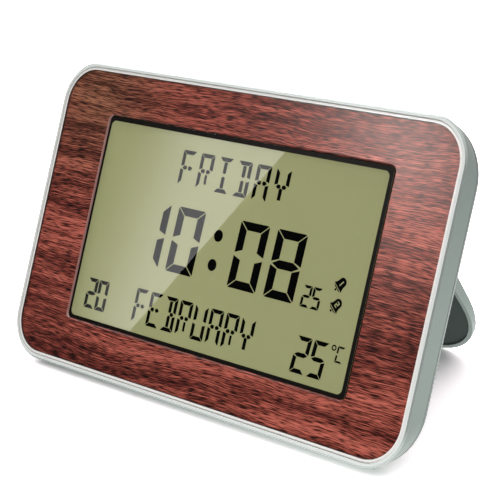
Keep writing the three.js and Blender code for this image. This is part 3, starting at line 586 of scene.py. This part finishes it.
# Display, window, board and cells

glassLook = {
    "grainScale": (4000, 1, 4000),
    "grainShare": 0.6,
    "cloudScale": (18, 1, 18),
    "cloudShare": 0.4,
    "tones": ((0.3, (0.063, 0.063, 0.0315, 1)), (0.7, (0.067, 0.067, 0.0335, 1))),
    "specular": 0.55,
    "glow": 4.03,  # painted light: the display glows by its own emission, so it stays evenly bright
}


def makeDisplayGlass(look):
    # grey-green reflective display with a very fine rubbed grain, and a painted glow
    material, tree, shader = newMaterial("liquidCrystal", specular=look["specular"])
    place = clockCoordinates(tree)
    grain = stretchedNoise(tree, place, look["grainScale"])
    clouds = stretchedNoise(tree, place, look["cloudScale"])
    tone = rampNode(tree, shareNode(tree, grain, look["grainShare"], clouds, look["cloudShare"]), look["tones"])
    setInputs(tree, shader, {"Base Color": tone, "Emission Color": tone, "Emission Strength": look["glow"],
                             "Roughness": 0.0})
    return material


windowLook = {
    "tint": (0.97, 0.985, 0.97, 1),
    "frontBend": 1.49,
    "backBend": 1.0,  # bonded to the display, so it doesn't mirror
}


def makeWindow(name, look, bend):
    # clear acrylic; light reaches the display through it unbent
    material, tree, shader = newMaterial(name)
    setInputs(tree, shader, {"Base Color": look["tint"], "Roughness": 0.0, "IOR": look[bend],
                             "Transmission Weight": 1.0})
    shadowRay = addNode(tree, "ShaderNodeLightPath").outputs["Is Shadow Ray"]
    clear = addNode(tree, "ShaderNodeBsdfTransparent")
    both = addNode(tree, "ShaderNodeMixShader", {0: shadowRay, 1: shader.outputs[0], 2: clear.outputs[0]})
    setInputs(tree, tree.nodes["Material Output"], {"Surface": both.outputs[0]})
    return material


boardLook = {
    "tracksPerMetre": 220,
    "trackWidth": 0.05,
    "mask": (0.012, 0.1, 0.035, 1),
    "maskLighter": (0.014, 0.12, 0.045, 1),
    "track": (0.03, 0.2, 0.08, 1),
    "trackHeight": 0.03 * mm,
    "padsPerMetre": 260,
    "padSize": 0.16,
    "pad": (0.6, 0.6, 0.58, 1),
    "roughness": 0.35,
}


def makeBoardGreen(look):
    # solder mask over faint copper tracks, with tinned pads
    material, tree, shader = newMaterial("boardGreen")
    place = clockCoordinates(tree)
    turned = addNode(tree, "ShaderNodeMapping", {"Vector": place, "Rotation": (math.radians(90), 0, 0)},
                     vector_type="POINT")
    tracks = addNode(tree, "ShaderNodeTexBrick",
                     {"Vector": turned.outputs["Vector"], "Scale": look["tracksPerMetre"],
                      "Mortar Size": look["trackWidth"], "Color1": look["mask"], "Color2": look["maskLighter"],
                      "Mortar": look["track"]})
    pads = addNode(tree, "ShaderNodeTexVoronoi", {"Vector": place, "Scale": look["padsPerMetre"]})
    spot = mathNode(tree, "LESS_THAN", pads.outputs["Distance"], look["padSize"])
    setInputs(tree, shader, {"Base Color": mixNode(tree, spot, tracks.outputs["Color"], look["pad"]),
                             "Metallic": spot, "Roughness": look["roughness"]})
    addBump(tree, shader, tracks.outputs["Fac"], look["trackHeight"])
    return material


stripLook = {
    "stripesPerMetre": 400,
    "tones": ((0.45, (0.03, 0.03, 0.035, 1)), (0.55, (0.3, 0.3, 0.32, 1))),
    "stripeHeight": 0.02 * mm,
    "specular": 0.4,
    "roughness": 0.6,
}


def makeContactStrip(look):
    # dark and pale layers in turn, as rubber that joins the glass to the board
    material, tree, shader = newMaterial("zebraRubber", specular=look["specular"])
    wave = addNode(tree, "ShaderNodeTexWave", {"Vector": clockCoordinates(tree), "Scale": look["stripesPerMetre"]},
                   wave_type="BANDS", bands_direction="X").outputs["Fac"]
    setInputs(tree, shader, {"Base Color": rampNode(tree, wave, look["tones"]), "Roughness": look["roughness"]})
    addBump(tree, shader, wave, look["stripeHeight"])
    return material


sleeveLook = {
    "bare": (0.55, 0.55, 0.54, 1),
    "copper": (0.42, 0.19, 0.08, 1),
    "night": (0.012, 0.014, 0.018, 1),
    # where each colour starts and ends, from one end of a cell to the other
    "ends": ((0.0, "bare"), (0.035, "bare"), (0.045, "copper"), (0.27, "copper"), (0.28, "night"),
             (0.955, "night"), (0.965, "bare")),
    "grainScale": (300, 3000, 3000),
    "grainShade": 0.25,
    "grainHeight": 0.01 * mm,
    "metallic": 0.35,
    "roughness": 0.3,
}


def makeCellSleeve(look):
    # plain two-tone sleeve with bare metal ends, along the cells
    material, tree, shader = newMaterial("cellSleeve", look["metallic"])
    low, high = clockBox("cell_1")
    place = clockCoordinates(tree)
    along = addNode(tree, "ShaderNodeMapRange",
                    {"Value": axisNode(tree, place, "X"), "From Min": low.x, "From Max": high.x}).outputs["Result"]
    tone = rampNode(tree, along, [(position, look[color]) for position, color in look["ends"]])
    grain = stretchedNoise(tree, place, look["grainScale"])
    setInputs(tree, shader, {"Base Color": mixNode(tree, look["grainShade"], tone, grain, "MULTIPLY"),
                             "Roughness": look["roughness"]})
    addBump(tree, shader, grain, look["grainHeight"])
    return material


materials["woodFilm"] = makeWood("woodFilm", woodLook)
materials["liquidCrystal"] = makeDisplayGlass(glassLook)
materials["windowFront"] = makeWindow("windowFront", windowLook, "frontBend")
materials["windowBack"] = makeWindow("windowBack", windowLook, "backBend")
materials["boardGreen"] = makeBoardGreen(boardLook)
materials["zebraRubber"] = makeContactStrip(stripLook)
materials["cellSleeve"] = makeCellSleeve(sleeveLook)
print("materials made", len(materials))


# CAD nodes that keep their shape, by finish

keptNodes = {
    "liquidCrystal": ["lcd_panel"],
    "mirrorFilm": ["lcd_reflector"],
    "blackPlastic": ["display_gasket", "glob_top_chip", "capacitor", "temperature_sensor",
                     "switch_mode", "switch_set", "switch_down", "switch_up", "switch_alarm"],
    "whitePlastic": ["lcd_holder"],
    "zebraRubber": ["zebra_connector"],
    "boardGreen": ["main_board"],
    "nickelSteel": ["holder_screw_1", "holder_screw_2", "holder_screw_3", "holder_screw_4",
                    "quartz_crystal", "contact_positive", "contact_negative", "contact_bridge",
                    "cell_spring_1", "cell_spring_2", "hinge_pin_right", "hinge_pin_left"],
    "buzzerBrass": ["piezo_buzzer"],
    "darkPlasticAndShade": ["stand_inner_panel"],
    "cellSleeve": ["cell_1", "cell_2"],
    "redCable": ["battery_wire_red"],
    "blackCable": ["battery_wire_black"],
}
for finishName, nodeNames in keptNodes.items():
    for nodeName in nodeNames:
        paint(frame["nodes"][nodeName], finishName)


# Housing pieces: the CAD shapes with softened edges

shell = dict(body="clock_case", slot="silver_shell", finishes=["silverPaint"])
housing = {
    "case_shell": dict(shell, node="case_frame", edge=0.12 * mm,
                       finishes=["silverPaint", "silverLipPaintedLight", "silverBevelPaintedLight"]),
    "front_rim": dict(shell, node="trim_ring", edge=0.08 * mm, slot="bright_rim",
                      finishes=["brightRim", "rimInsidePaintedShade"]),
    "back_shell": dict(shell, node="rear_cover", edge=0.1 * mm, finishes=["silverBack"]),
    "cell_door": dict(shell, node="battery_door", edge=0.12 * mm, body="battery_door"),
    "stand_shell": dict(shell, node="stand_leaf", edge=0.15 * mm, body="stand"),
}
seams = {
    "backFront": 8.3 * mm,  # front edge of the back shell
    "backWithin": 0.02 * mm,  # points this near to it are on it
    "front": 0.04 * mm,  # how far the back shell reaches into its gap to the front housing
    "rim": 0.15 * mm,  # how far the bright rim reaches into its gap to the lip
    "cornerX": 92 * mm,  # middle of the front's round corners
    "cornerZ": 47 * mm,
    "rimMiddle": 15.4 * mm,  # from there to the middle of the rim
    "rimWallFacing": 0.3,  # a wall of the rim faces the front by less than this
    "lipDepth": 0.3 * mm,
    "lipOuter": 17.45 * mm,
    "bevelDepth": 0.45 * mm,
}


def fromCorner(point):
    # away from the straight core of the front, in the plane of the face
    near = Vector((max(-seams["cornerX"], min(seams["cornerX"], point.x)), point.y,
                   max(-seams["cornerZ"], min(seams["cornerZ"], point.z))))
    return point - near


def closeSeams(piece, pieceName):
    for vertex in piece.data.vertices:
        point = toClock @ vertex.co
        if pieceName == "back_shell" and abs(point.y - seams["backFront"]) < seams["backWithin"]:
            point.y -= seams["front"]
        if pieceName == "front_rim":
            outward = fromCorner(point)
            if outward.length > seams["rimMiddle"]:
                point += outward.normalized() * seams["rim"]
        vertex.co = clockPlace @ point


def paintLipLight(piece):
    # painted light: the flat of the lip and its inner wall take a much lighter copy of the band's silver paint, and
    # the outer bevel a lighter one, as if lit from the front
    for face in piece.data.polygons:
        corners = [toClock @ piece.data.vertices[index].co for index in face.vertices]
        if (min(corner.y for corner in corners) < seams["lipDepth"]
                and max(fromCorner(corner).length for corner in corners) < seams["lipOuter"]):
            face.material_index = 1
        elif max(corner.y for corner in corners) < seams["bevelDepth"]:
            face.material_index = 2


def paintRimShade(piece):
    # painted shade and painted reflection: the inner wall of the rim takes a dark copy of the rim's colour,
    # standing in for the dark wood it would mirror
    for face in piece.data.polygons:
        start = toClock @ piece.data.vertices[face.vertices[0]].co
        facing = toClock.to_3x3() @ face.normal
        if abs(facing.y) < seams["rimWallFacing"] and fromCorner(start).dot(facing) < 0:
            face.material_index = 1


for pieceName, make in housing.items():
    piece = copyNode(make["node"], pieceName)
    closeSeams(piece, pieceName)
    softEdges(piece, make["edge"])
    paint(piece, *make["finishes"])
    if pieceName == "case_shell":
        paintLipLight(piece)
    if pieceName == "front_rim":
        paintRimShade(piece)
    belong(piece, make["body"], make["slot"], make["node"])
print("housing made")


# Wood panel: a painted highlight, a lighter wood, on the bevel at the left of its opening, and painted shade, black
# ink, on its walls inside

opening = {
    "width": 158.6 * mm,
    "height": 89.8 * mm,
    "edge": 0.04 * mm,
    "lift": 0.25 * mm,  # its lower edge comes this much closer to the window
    "liftFrom": -41 * mm,
    "wallFacing": 0.2,  # a wall faces the front by less than this
    "highlightFacing": 0.3,  # and the bevel on the left that takes the painted highlight faces right by more than this
}
woodFront = copyNode("wood_panel", "wood_front")
for vertex in woodFront.data.vertices:
    point = toClock @ vertex.co
    if abs(point.x) < opening["width"] / 2 and -opening["height"] / 2 < point.z < opening["liftFrom"]:
        point.z += opening["lift"]
    vertex.co = clockPlace @ point
softEdges(woodFront, opening["edge"], segments=1)
paint(woodFront, "woodFilm", "woodEdgePaintedHighlight", "windowInkAndShade")
# painted shade on the walls of the opening, painted highlight on the bevel at its left
for face in woodFront.data.polygons:
    centre = toClock @ face.center
    inside = abs(centre.x) < opening["width"] / 2 and abs(centre.z) < opening["height"] / 2
    if inside and face.normal.dot(pressAxis) < opening["wallFacing"]:
        face.material_index = 2
    elif inside and face.normal.x > opening["highlightFacing"]:
        face.material_index = 1
belong(woodFront, "clock_case", "wood_front", "wood_panel")


# Clear window with black sides and flange: the front surface mirrors, the rear one is bonded and doesn't

flange = {"width": 1.7, "drop": 0.3 * mm, "rearFacing": -0.9, "frontFacing": 0.5}
windowLow, windowHigh = clockBox("display_lens")
window = copyNode("display_lens", "display_window")
paint(window, "windowFront", "windowBack", "windowInkAndShade")
for face in window.data.polygons:
    towardsFront = face.normal.dot(pressAxis)
    if towardsFront < flange["rearFacing"]:
        face.material_index = 1
    elif towardsFront < flange["frontFacing"] or (toClock @ face.center).y > windowLow.y + flange["drop"]:
        face.material_index = 2
belong(window, "clock_case", "display_window", "display_lens")


# Flat shapes: segments, signs and printed borders

def insetPolygon(points, gap):
    # every side of a convex outline moves inwards by the gap
    centre = Vector((sum(p[0] for p in points), sum(p[1] for p in points))) / len(points)
    lines = []
    for index, point in enumerate(points):
        start = Vector(point)
        end = Vector(points[(index + 1) % len(points)])
        along = (end - start).normalized()
        normal = Vector((-along.y, along.x))
        if normal.dot(centre - start) < 0:
            normal = -normal
        lines.append((start + normal * gap, along))
    corners = []
    for index, (start, along) in enumerate(lines):
        before, beforeAlong = lines[index - 1]
        cross = beforeAlong.x * along.y - beforeAlong.y * along.x
        if abs(cross) < 1e-6:  # both sides lie in one line
            corners.append((start.x, start.y))
            continue
        gapToStart = start - before
        distance = (gapToStart.x * along.y - gapToStart.y * along.x) / cross
        corner = before + beforeAlong * distance
        corners.append((corner.x, corner.y))
    return corners


def roundShape(centreX, centreZ, radius, count=32):
    return [(centreX + radius * math.cos(2 * math.pi * i / count),
             centreZ + radius * math.sin(2 * math.pi * i / count)) for i in range(count)]


def roundedBox(width, height, radius, steps=8):
    points = []
    for cornerX, cornerZ, startAngle in ((1, 1, 0), (-1, 1, 90), (-1, -1, 180), (1, -1, 270)):
        for step in range(steps + 1):
            angle = math.radians(startAngle + 90 * step / steps)
            points.append((cornerX * (width / 2 - radius) + radius * math.cos(angle),
                           cornerZ * (height / 2 - radius) + radius * math.sin(angle)))
    return points


def flatPiece(name, outlines, thickness, depth, seenFromBehind=False):
    # outlines are lists of points in mm; the piece is a thin plate at that depth behind the face
    curve = bpy.data.curves.new(name, "CURVE")
    curve.dimensions = "2D"
    curve.fill_mode = "BOTH"
    curve.extrude = thickness / 2
    for outline in outlines:
        spline = curve.splines.new("POLY")
        spline.points.add(len(outline) - 1)
        for point, (x, z) in zip(spline.points, outline):
            point.co = (x * mm, z * mm, 0, 1)
        spline.use_cyclic_u = True
    activate(addObject(name, curve))
    bpy.ops.object.convert(target="MESH")
    piece = bpy.context.object
    faceOut(piece)
    turn = Matrix.Rotation(math.radians(90), 4, "X")
    if seenFromBehind:
        turn = Matrix.Rotation(math.radians(180), 4, "Z") @ turn
    return placeOnClock(piece, Matrix.Translation((0, depth, 0)) @ turn)


segmentForm = {
    "middleGap": 0.15,  # from the middle of a character to the inner ends of its two middle bars
    "pointShare": 0.4,  # how far the point of the middle upright goes, in halves of a bar
    "slantWidth": 0.75,  # of an upright
    "slantGap": 0.15,  # from a slanted segment to the upright and the bar that it starts at
    "slantInset": 0.1,  # and at its other end
    "slantFoot": 0.3,
}


def segmentShapes(cell):
    # outlines of one character cell, by the usual segment letters; i, l, m, n and o are the middle and slanted ones
    form = segmentForm
    width, height, upright, bar, corner = (cell[key] for key in ("width", "height", "upright", "bar", "corner"))
    middle = height / 2
    half = bar / 2

    def flipX(points):
        return [(width - x, z) for x, z in points]

    def flipZ(points):
        return [(x, height - z) for x, z in points]

    top = [(corner, height), (width - corner, height), (width - corner / 2, height - corner / 2),
           (width - upright, height - bar), (upright, height - bar), (corner / 2, height - corner / 2)]
    leftUpper = [(0, height - corner), (corner / 2, height - corner / 2), (upright, height - bar),
                 (upright, middle + half), (0, middle + cell["notch"])]
    tip = cell["tip"]
    crossbar = [(tip, middle), (upright, middle + half), (width - upright, middle + half),
                (width - tip, middle), (width - upright, middle - half), (upright, middle - half)]
    inner = width / 2 - form["middleGap"]
    leftBar = [(tip + half, middle), (tip + 2 * half, middle + half), (inner - half / 2, middle + half),
               (inner, middle), (inner - half / 2, middle - half), (tip + 2 * half, middle - half)]
    centre = [(width / 2 - upright / 2, height - bar), (width / 2 + upright / 2, height - bar),
              (width / 2 + upright / 2, middle + half), (width / 2, middle + half * form["pointShare"]),
              (width / 2 - upright / 2, middle + half)]
    slim = form["slantWidth"] * upright
    outer = upright + form["slantGap"]
    above = height - bar - form["slantGap"]
    nearMiddle = width / 2 - form["slantInset"]
    below = middle + half + form["slantFoot"]
    slant = [(outer, above), (outer + slim, above), (nearMiddle, below), (nearMiddle - slim, below)]
    return {"a": top, "b": flipX(leftUpper), "c": flipZ(flipX(leftUpper)), "d": flipZ(top),
            "e": flipZ(leftUpper), "f": leftUpper, "g": crossbar, "i": centre, "l": flipZ(centre),
            "m": flipZ(flipX(slant)), "n": leftBar, "o": flipX(leftBar)}


segmentSets = {
    "0": "abcdef", "1": "bc", "2": "abged", "5": "afgcd", "8": "abcdefg",
    "F": "afeno", "R": "afbenom", "I": "adil", "D": "abcdil", "A": "abcefno", "Y": "fbnol",
    "E": "adefno", "B": "abcdoil", "U": "bcdef", "C": "adef",
}
timeCell = dict(width=15.9, height=27.1, upright=4.3, bar=3.75, corner=0.9, notch=0.35, tip=0.5, gap=0.2)
letterCell = dict(width=7.9, height=14.5, upright=2.0, bar=1.85, corner=0.6, notch=0.35, tip=0.1, gap=0.11)
monthCell = dict(letterCell, width=7.4, height=14.3, upright=1.9, bar=1.8)
dateCell = dict(width=6.5, height=13.0, upright=2.0, bar=1.8, corner=0.4, notch=0.3, tip=0.2, gap=0.12)
secondCell = dict(width=4.7, height=8.6, upright=1.35, bar=1.25, corner=0.3, notch=0.2, tip=0.15, gap=0.09)
warmthCell = dict(width=7.6, height=14.4, upright=2.1, bar=1.95, corner=0.4, notch=0.3, tip=0.2, gap=0.13)
unitCell = dict(width=3.8, height=6.4, upright=0.95, bar=0.9, corner=0.2, notch=0.2, tip=0.1, gap=0.07)

# where each group of characters starts; x and z as they are seen in the plane of the face
displayText = {
    "weekday_word": dict(text="FRIDAY", cell=letterCell, left=-30.1, pitch=10.44, foot=21.0, slant=0.0),
    "hour_digits": dict(text="10", cell=timeCell, left=-46.4, pitch=20.0, foot=-14.4, slant=0.02),
    "minute_digits": dict(text="08", cell=timeCell, left=8.9, pitch=19.75, foot=-14.4, slant=0.02),
    "second_digits": dict(text="25", cell=secondCell, left=47.9, pitch=5.0, foot=-14.4, slant=0.03),
    "date_digits": dict(text="20", cell=dateCell, left=-69.3, pitch=6.75, foot=-37.9, slant=0.0),
    "month_word": dict(text="FEBRUARY", cell=monthCell, left=-39.4, pitch=8.66, foot=-38.1, slant=0.0),
    "warmth_digits": dict(text="25", cell=warmthCell, left=49.7, pitch=8.5, foot=-39.2, slant=0.07),
    "unit_letter": dict(text="C", cell=unitCell, left=70.3, pitch=5.0, foot=-31.2, slant=0.07),
}
displaySeen = {
    "shiftX": -2.46,  # the display lies behind the face, so what is on it stands further left
    "shiftZ": -0.08,
    "grow": 1.004,
    "ink": 0.03 * mm,
    "inkGap": 0.015 * mm,
}


def onDisplay(points):
    look = displaySeen
    return [(x * look["grow"] + look["shiftX"], z * look["grow"] + look["shiftZ"]) for x, z in points]


inkDepth = clockBox("lcd_panel")[0].y - displaySeen["inkGap"] - displaySeen["ink"] / 2


def makeDisplayPiece(name, outlines):
    piece = flatPiece(name, [onDisplay(outline) for outline in outlines], displaySeen["ink"], inkDepth)
    paint(piece, "segmentInk")
    belong(piece, "clock_case", "black_plastic")


for pieceName, make in displayText.items():
    outlines = []
    shapes = segmentShapes(make["cell"])
    for index, letter in enumerate(make["text"]):
        for segment in segmentSets[letter]:
            outline = insetPolygon(shapes[segment], make["cell"]["gap"])
            outlines.append([(make["left"] + index * make["pitch"] + x + make["slant"] * z, make["foot"] + z)
                             for x, z in outline])
    makeDisplayPiece(pieceName, outlines)

colon = dict(x=-0.95, upper=4.4, lower=-7.4, radius=2.4)
makeDisplayPiece("time_colon", [roundShape(colon["x"], z, colon["radius"])
                                for z in (colon["upper"], colon["lower"])])
degree = dict(x=69.0, z=-25.95, outer=1.15, inner=0.6)
makeDisplayPiece("degree_ring", [roundShape(degree["x"], degree["z"], radius)
                                 for radius in (degree["outer"], degree["inner"])])

bell = {
    "outline": [(-0.45, 2.55), (-1.05, 2.25), (-1.5, 1.7), (-1.65, 1.0), (-1.7, 0.0), (-1.95, -0.9), (-2.45, -1.6),
                (2.45, -1.6), (1.95, -0.9), (1.7, 0.0), (1.65, 1.0), (1.5, 1.7), (1.05, 2.25), (0.45, 2.55)],
    "mouth": [(-2.1, -1.85), (2.1, -1.85), (1.2, -2.25), (-1.2, -2.25)],
    "clapper": (0, -2.75, 0.42, 16),  # centre, radius and corners
    "tilt": -42,
    "grow": 1.12,
}
# the number that stands in each bell, and the bell's place on the display
bellNumbers = {
    "alarm_bell_1": ((65.6, -2.6), [(-0.2, 1.5), (0.25, 1.5), (0.25, -0.7), (-0.2, -0.7)]),
    "alarm_bell_2": ((65.6, -10.6), [(-0.65, 1.5), (0.65, 1.5), (0.65, 0.2), (-0.2, 0.2), (-0.2, -0.3),
                                     (0.65, -0.3), (0.65, -0.7), (-0.65, -0.7), (-0.65, 0.6), (0.2, 0.6),
                                     (0.2, 1.1), (-0.65, 1.1)]),
}


def turnShape(points, degrees, grow, centreX, centreZ):
    cosine = grow * math.cos(math.radians(degrees))
    sine = grow * math.sin(math.radians(degrees))
    return [(centreX + x * cosine - z * sine, centreZ + x * sine + z * cosine) for x, z in points]


for pieceName, (place, number) in bellNumbers.items():
    shapes = [bell["outline"], number, bell["mouth"], roundShape(*bell["clapper"])]
    makeDisplayPiece(pieceName, [turnShape(shape, bell["tilt"], bell["grow"], *place) for shape in shapes])

border = dict(left=-76.95, right=76.25, bottom=-42.25, top=41.9, radius=2.3, edgeRadius=2.1,
              thickness=0.03 * mm, rise=0.02 * mm, edge=0.05)
windowWide, windowTall = (side / mm - 2 * flange["width"] - 2 * border["edge"]
                          for side in (windowHigh.x - windowLow.x, windowHigh.z - windowLow.z))
shown = roundedBox(border["right"] - border["left"], border["top"] - border["bottom"], border["radius"])
middleX = (border["left"] + border["right"]) / 2
middleZ = (border["bottom"] + border["top"]) / 2
windowBorder = flatPiece("window_border", [roundedBox(windowWide, windowTall, border["edgeRadius"]),
                                           [(x + middleX, z + middleZ) for x, z in shown]],
                         border["thickness"], windowLow.y - border["rise"])
paint(windowBorder, "windowInkAndShade")
belong(windowBorder, "clock_case", "black_plastic")
print("display made")


# Buttons with a sign on each

buttonSigns = {
    "mode": [roundShape(0, 0, 1.5), roundShape(0, 0, 0.95)],
    "set": [roundedBox(2.6, 2.6, 0.5), roundedBox(1.5, 1.5, 0.2)],
    "down": [[(-1.6, 0.9), (1.6, 0.9), (0, -1.6)]],
    "up": [[(-1.6, -0.9), (1.6, -0.9), (0, 1.6)]],
    "alarm": [[(x * 0.62, z * 0.62) for x, z in bell["outline"]], roundShape(0, -1.55, 0.4, 16)],
}
buttonLook = {
    "edge": 0.1 * mm,
    "signThickness": 0.1 * mm,
    "signRise": 0.04 * mm,  # of the middle of a sign over its key
}
for buttonName, outlines in buttonSigns.items():
    nodeName = "button_" + buttonName
    key = copyNode(nodeName, "key_" + buttonName)
    softEdges(key, buttonLook["edge"])
    paint(key, "buttonRubber")
    belong(key, buttonName + "_button", "button_grey", nodeName)
    keyX, keyBack, keyZ = backMiddle(nodeName)
    placed = [[(x - keyX / mm, z + keyZ / mm) for x, z in outline] for outline in outlines]
    sign = flatPiece("sign_" + buttonName, placed, buttonLook["signThickness"],
                     keyBack + buttonLook["signRise"], seenFromBehind=True)
    paint(sign, "markInk")
    belong(sign, buttonName + "_button", "white_plastic")
print("buttons made")


# Screws of the back shell: rounded head with a cross recess, threaded shank

coverScrew = {
    "headRadius": 2.7,
    "headHeight": 2.0,
    "headRound": 0.7,
    "roundSteps": 4,
    "shankRadius": 1.3,
    "shankLength": 5.0,
    "threadPitch": 0.8,
    "threadDepth": 0.25,
    "crossWidth": 0.75,
    "crossLength": 3.0,
    "crossDepth": 1.1,
    "edge": 0.06 * mm,
    "turns": (12, 57, 31, 74),  # degrees that each screw is turned by
}


def latheShape(name, profile, steps=40):
    # profile points are radius and height in mm, from axis to axis
    mesh = bpy.data.meshes.new(name)
    mesh.from_pydata([(radius * mm, 0, height * mm) for radius, height in profile],
                     [(i, i + 1) for i in range(len(profile) - 1)], [])
    piece = addObject(name, mesh)
    applyModifier(piece, "SCREW", angle=2 * math.pi, steps=steps, render_steps=steps, axis="Z",
                  use_merge_vertices=True, merge_threshold=1e-6)
    faceOut(piece)
    return piece


def makeScrew(look):
    # head's top at z = 0, shank downwards
    seat = -look["headHeight"]
    tip = seat - look["shankLength"]
    root = look["shankRadius"] - look["threadDepth"]
    profile = [(0, 0)]
    for step in range(look["roundSteps"] + 1):
        angle = math.radians(90 * step / look["roundSteps"])
        profile.append((look["headRadius"] - look["headRound"] * (1 - math.sin(angle)),
                        -look["headRound"] * (1 - math.cos(angle))))
    profile += [(look["headRadius"], seat), (look["shankRadius"], seat)]
    height = seat - look["threadPitch"] / 2
    while height - look["threadPitch"] > tip:
        profile += [(root, height), (look["shankRadius"], height - look["threadPitch"] / 2)]
        height -= look["threadPitch"]
    profile += [(root, tip), (0, tip)]
    screw = latheShape("screwShape", profile)
    for turn in (0, 90):
        cutter = addBlock((look["crossLength"] * mm, look["crossWidth"] * mm, 2 * look["crossDepth"] * mm), turn)
        applyModifier(screw, "BOOLEAN", operation="DIFFERENCE", object=cutter, solver="EXACT")
        bpy.data.objects.remove(cutter)
    softEdges(screw, look["edge"])
    return screw


screwShape = makeScrew(coverScrew)
for index, turn in enumerate(coverScrew["turns"], 1):
    nodeName = f"cover_screw_{index}"
    screw = addObject(f"case_screw_{index}", screwShape.data.copy())
    placeOnClock(screw, Matrix.Translation(backMiddle(nodeName)) @ Matrix.Rotation(math.radians(-90), 4, "X")
                 @ Matrix.Rotation(math.radians(turn), 4, "Z"))
    paint(screw, "nickelSteel")
    belong(screw, "clock_case", "bright_steel", nodeName)
bpy.data.objects.remove(screwShape)
print("screws made")


# Battery door: grip ribs under its notch

ribs = {"count": 5, "length": 13, "width": 0.9, "rise": 0.25, "pitch": 1.9, "belowTop": 9.5,
        "edge": 0.2 * mm, "smoothAngle": 35}
doorLow, doorHigh = clockBox("battery_door")
ribShapes = []
for index in range(ribs["count"]):
    # each rib is a little shorter than the one above
    rib = addBlock(((ribs["length"] - index * ribs["width"]) * mm, 2 * ribs["rise"] * mm, ribs["width"] * mm))
    applyModifier(rib, "BEVEL", width=ribs["edge"], segments=3, limit_method="ANGLE")
    placeOnClock(rib, Matrix.Translation(((doorLow.x + doorHigh.x) / 2, doorHigh.y,
                                          doorHigh.z - (ribs["belowTop"] + index * ribs["pitch"]) * mm)))
    ribShapes.append(rib)
doorGrip = ribShapes[0]
activate(doorGrip)
for rib in ribShapes[1:]:
    rib.select_set(True)
bpy.ops.object.join()
doorGrip.name = "door_grip"
activate(doorGrip)
bpy.ops.object.shade_smooth_by_angle(angle=math.radians(ribs["smoothAngle"]))
paint(doorGrip, "silverPaint")
belong(doorGrip, "battery_door", "silver_shell")
print("battery door made")
